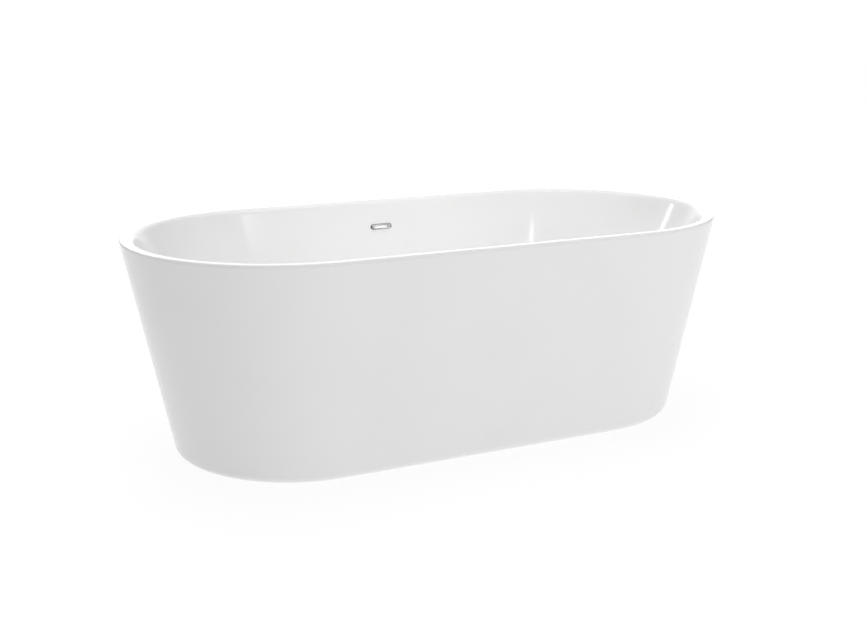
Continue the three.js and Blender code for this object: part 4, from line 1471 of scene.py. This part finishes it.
@dataclass
class Studio:
    """A white floor, soft lights and the camera."""

    azimuth: float = -25.69
    elevation: float = 14.625
    distance: float = 3.396
    lens: float = 50.0
    sensor: float = 36.0
    wall_glow: Glow = Glow((0.4335, 0.901, 0.0), 0.78, 0.92, 0.04, 1.02)
    rear_glow: Glow = Glow((0.25, 0.85, 0.5), 0.72, 0.95, 0.0, 0.55)
    ceiling_glow: Glow = Glow((-0.1, 0.0, 1.0), 0.58, 0.95, 0.0, 1.7)
    floor_reach: float = 40.0
    floor_gap: float = 0.0001
    floor_glow: float = 0.83
    floor_tone: float = 0.2
    lights: Sequence[SoftBox] = (
        SoftBox("key", (1.6, -4.0, 1.2), (0.2, 0, 0.3), (4.0, 1.2), 45.0),
        SoftBox("basin fill", (0.06, 0, 0.8), (0.06, 0, 0.2), (1.15, 0.3), 1.65, Gives.LIGHT),
        SoftBox("front glint", (0.377, -2.1, 1.83), (0.51, 0.33, 0.45), (0.06, 0.22), 1.7, Gives.SHINE),
        SoftBox(
            "slot fill", (-0.243, -0.207, 0.613), (-0.009, 0.335, 0.507), (0.046, 0.008), 0.0017,
            Gives.LIGHT, 1.2,
        ),
        SoftBox("rear glint", (-0.58, 2.19, 1.62), (0.79, 0.0, 0.53), (0.05, 0.3), 2.0, Gives.SHINE),
    )

    def build(self) -> None:
        """Makes the floor, the room's light, the lamps and the camera."""
        self._floor()
        self._room()
        for light in self.lights:
            light.hang()
        self._camera()
        bpy.context.scene.view_settings.view_transform = "Standard"

    def _floor(self) -> None:
        """Makes the pale floor, a matt sheet that also glows white."""
        deselect_all()
        bpy.ops.mesh.primitive_plane_add(size=self.floor_reach, location=(0, 0, -self.floor_gap))
        floor = bpy.context.object
        floor.name = "studio_floor"
        bench = Bench("pale floor")
        tone = bench.noise(3.0, 3.0)
        light, dark = (self.floor_tone,) * 3, (self.floor_tone * 0.98,) * 3
        bench.dress(
            Base_Color=bench.mixed(tone, light, dark),
            Roughness=0.9 + 0.05 * tone,
            Specular_IOR_Level=0.0,
            Emission_Color=(1.0, 1.0, 1.0),
            Emission_Strength=self.floor_glow,
        )
        floor.data.materials.append(bench.material)
        floor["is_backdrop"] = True

    def _room(self) -> None:
        """Fills the room with soft white light from above and behind; the camera itself sees plain white."""
        world = bpy.data.worlds.new("white room")
        bpy.context.scene.world = world
        world.use_nodes = True
        tree = world.node_tree
        place = tree.nodes.new("ShaderNodeTexCoord").outputs["Generated"]
        total = None
        for glow in (self.wall_glow, self.rear_glow, self.ceiling_glow):
            side = tree.nodes.new("ShaderNodeVectorMath")
            side.operation = "DOT_PRODUCT"
            side.inputs[1].default_value = Vector(glow.towards).normalized()
            fade = tree.nodes.new("ShaderNodeMapRange")
            fade.interpolation_type = "SMOOTHSTEP"
            ends = {"From Min": glow.start, "From Max": glow.end, "To Min": glow.low, "To Max": glow.high}
            for key, value in ends.items():
                fade.inputs[key].default_value = value
            tree.links.new(place, side.inputs[0])
            tree.links.new(side.outputs["Value"], fade.inputs["Value"])
            added = tree.nodes.new("ShaderNodeMath")
            tree.links.new(fade.outputs[0], added.inputs[0])
            added.inputs[1].default_value = 0.0
            if total:
                tree.links.new(total, added.inputs[1])
            total = added.outputs[0]
        seen = tree.nodes.new("ShaderNodeMath")
        seen.operation = "MAXIMUM"
        tree.links.new(tree.nodes.new("ShaderNodeLightPath").outputs["Is Camera Ray"], seen.inputs[0])
        tree.links.new(total, seen.inputs[1])
        tree.links.new(seen.outputs[0], tree.nodes["Background"].inputs["Strength"])
        tree.nodes["Background"].inputs["Color"].default_value = (1, 1, 1, 1)

    def _camera(self) -> None:
        """Sets up the camera at its viewing angle."""
        low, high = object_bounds()
        centre = (low + high) / 2
        turn, rise = math.radians(self.azimuth), math.radians(self.elevation)
        back = Vector((math.sin(turn) * math.cos(rise), -math.cos(turn) * math.cos(rise), math.sin(rise)))
        data = bpy.data.cameras.new("camera")
        data.lens = self.lens
        data.sensor_width = self.sensor
        camera = bpy.data.objects.new("camera", data)
        bpy.context.scene.collection.objects.link(camera)
        camera.location = centre + back * self.distance
        camera.rotation_euler = (-back).to_track_quat("-Z", "Y").to_euler()
        bpy.context.scene.camera = camera


def main() -> None:
    """Builds and dresses the tub and its studio, piece by piece."""
    logging.basicConfig(level=logging.INFO, format="%(name)s: %(message)s")
    cad_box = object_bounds()
    Studio().build()
    shells = Shells()
    overflow = Overflow(shells)
    shells.build_basin(overflow.build_cutter())
    shells.build_skirt()
    shells.dress_bond()
    overflow.build_trim()
    overflow.dress_rear()
    waste = Waste()
    waste.build_cap()
    waste.build_flange()
    waste.dress_rest()
    Chassis().dress()
    Feet().build()
    sizes = {"cad": cad_box, "visual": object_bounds()}
    {key: [list(corner) for corner in box] for key, box in sizes.items()}


if __name__ == "__main__":
    main()
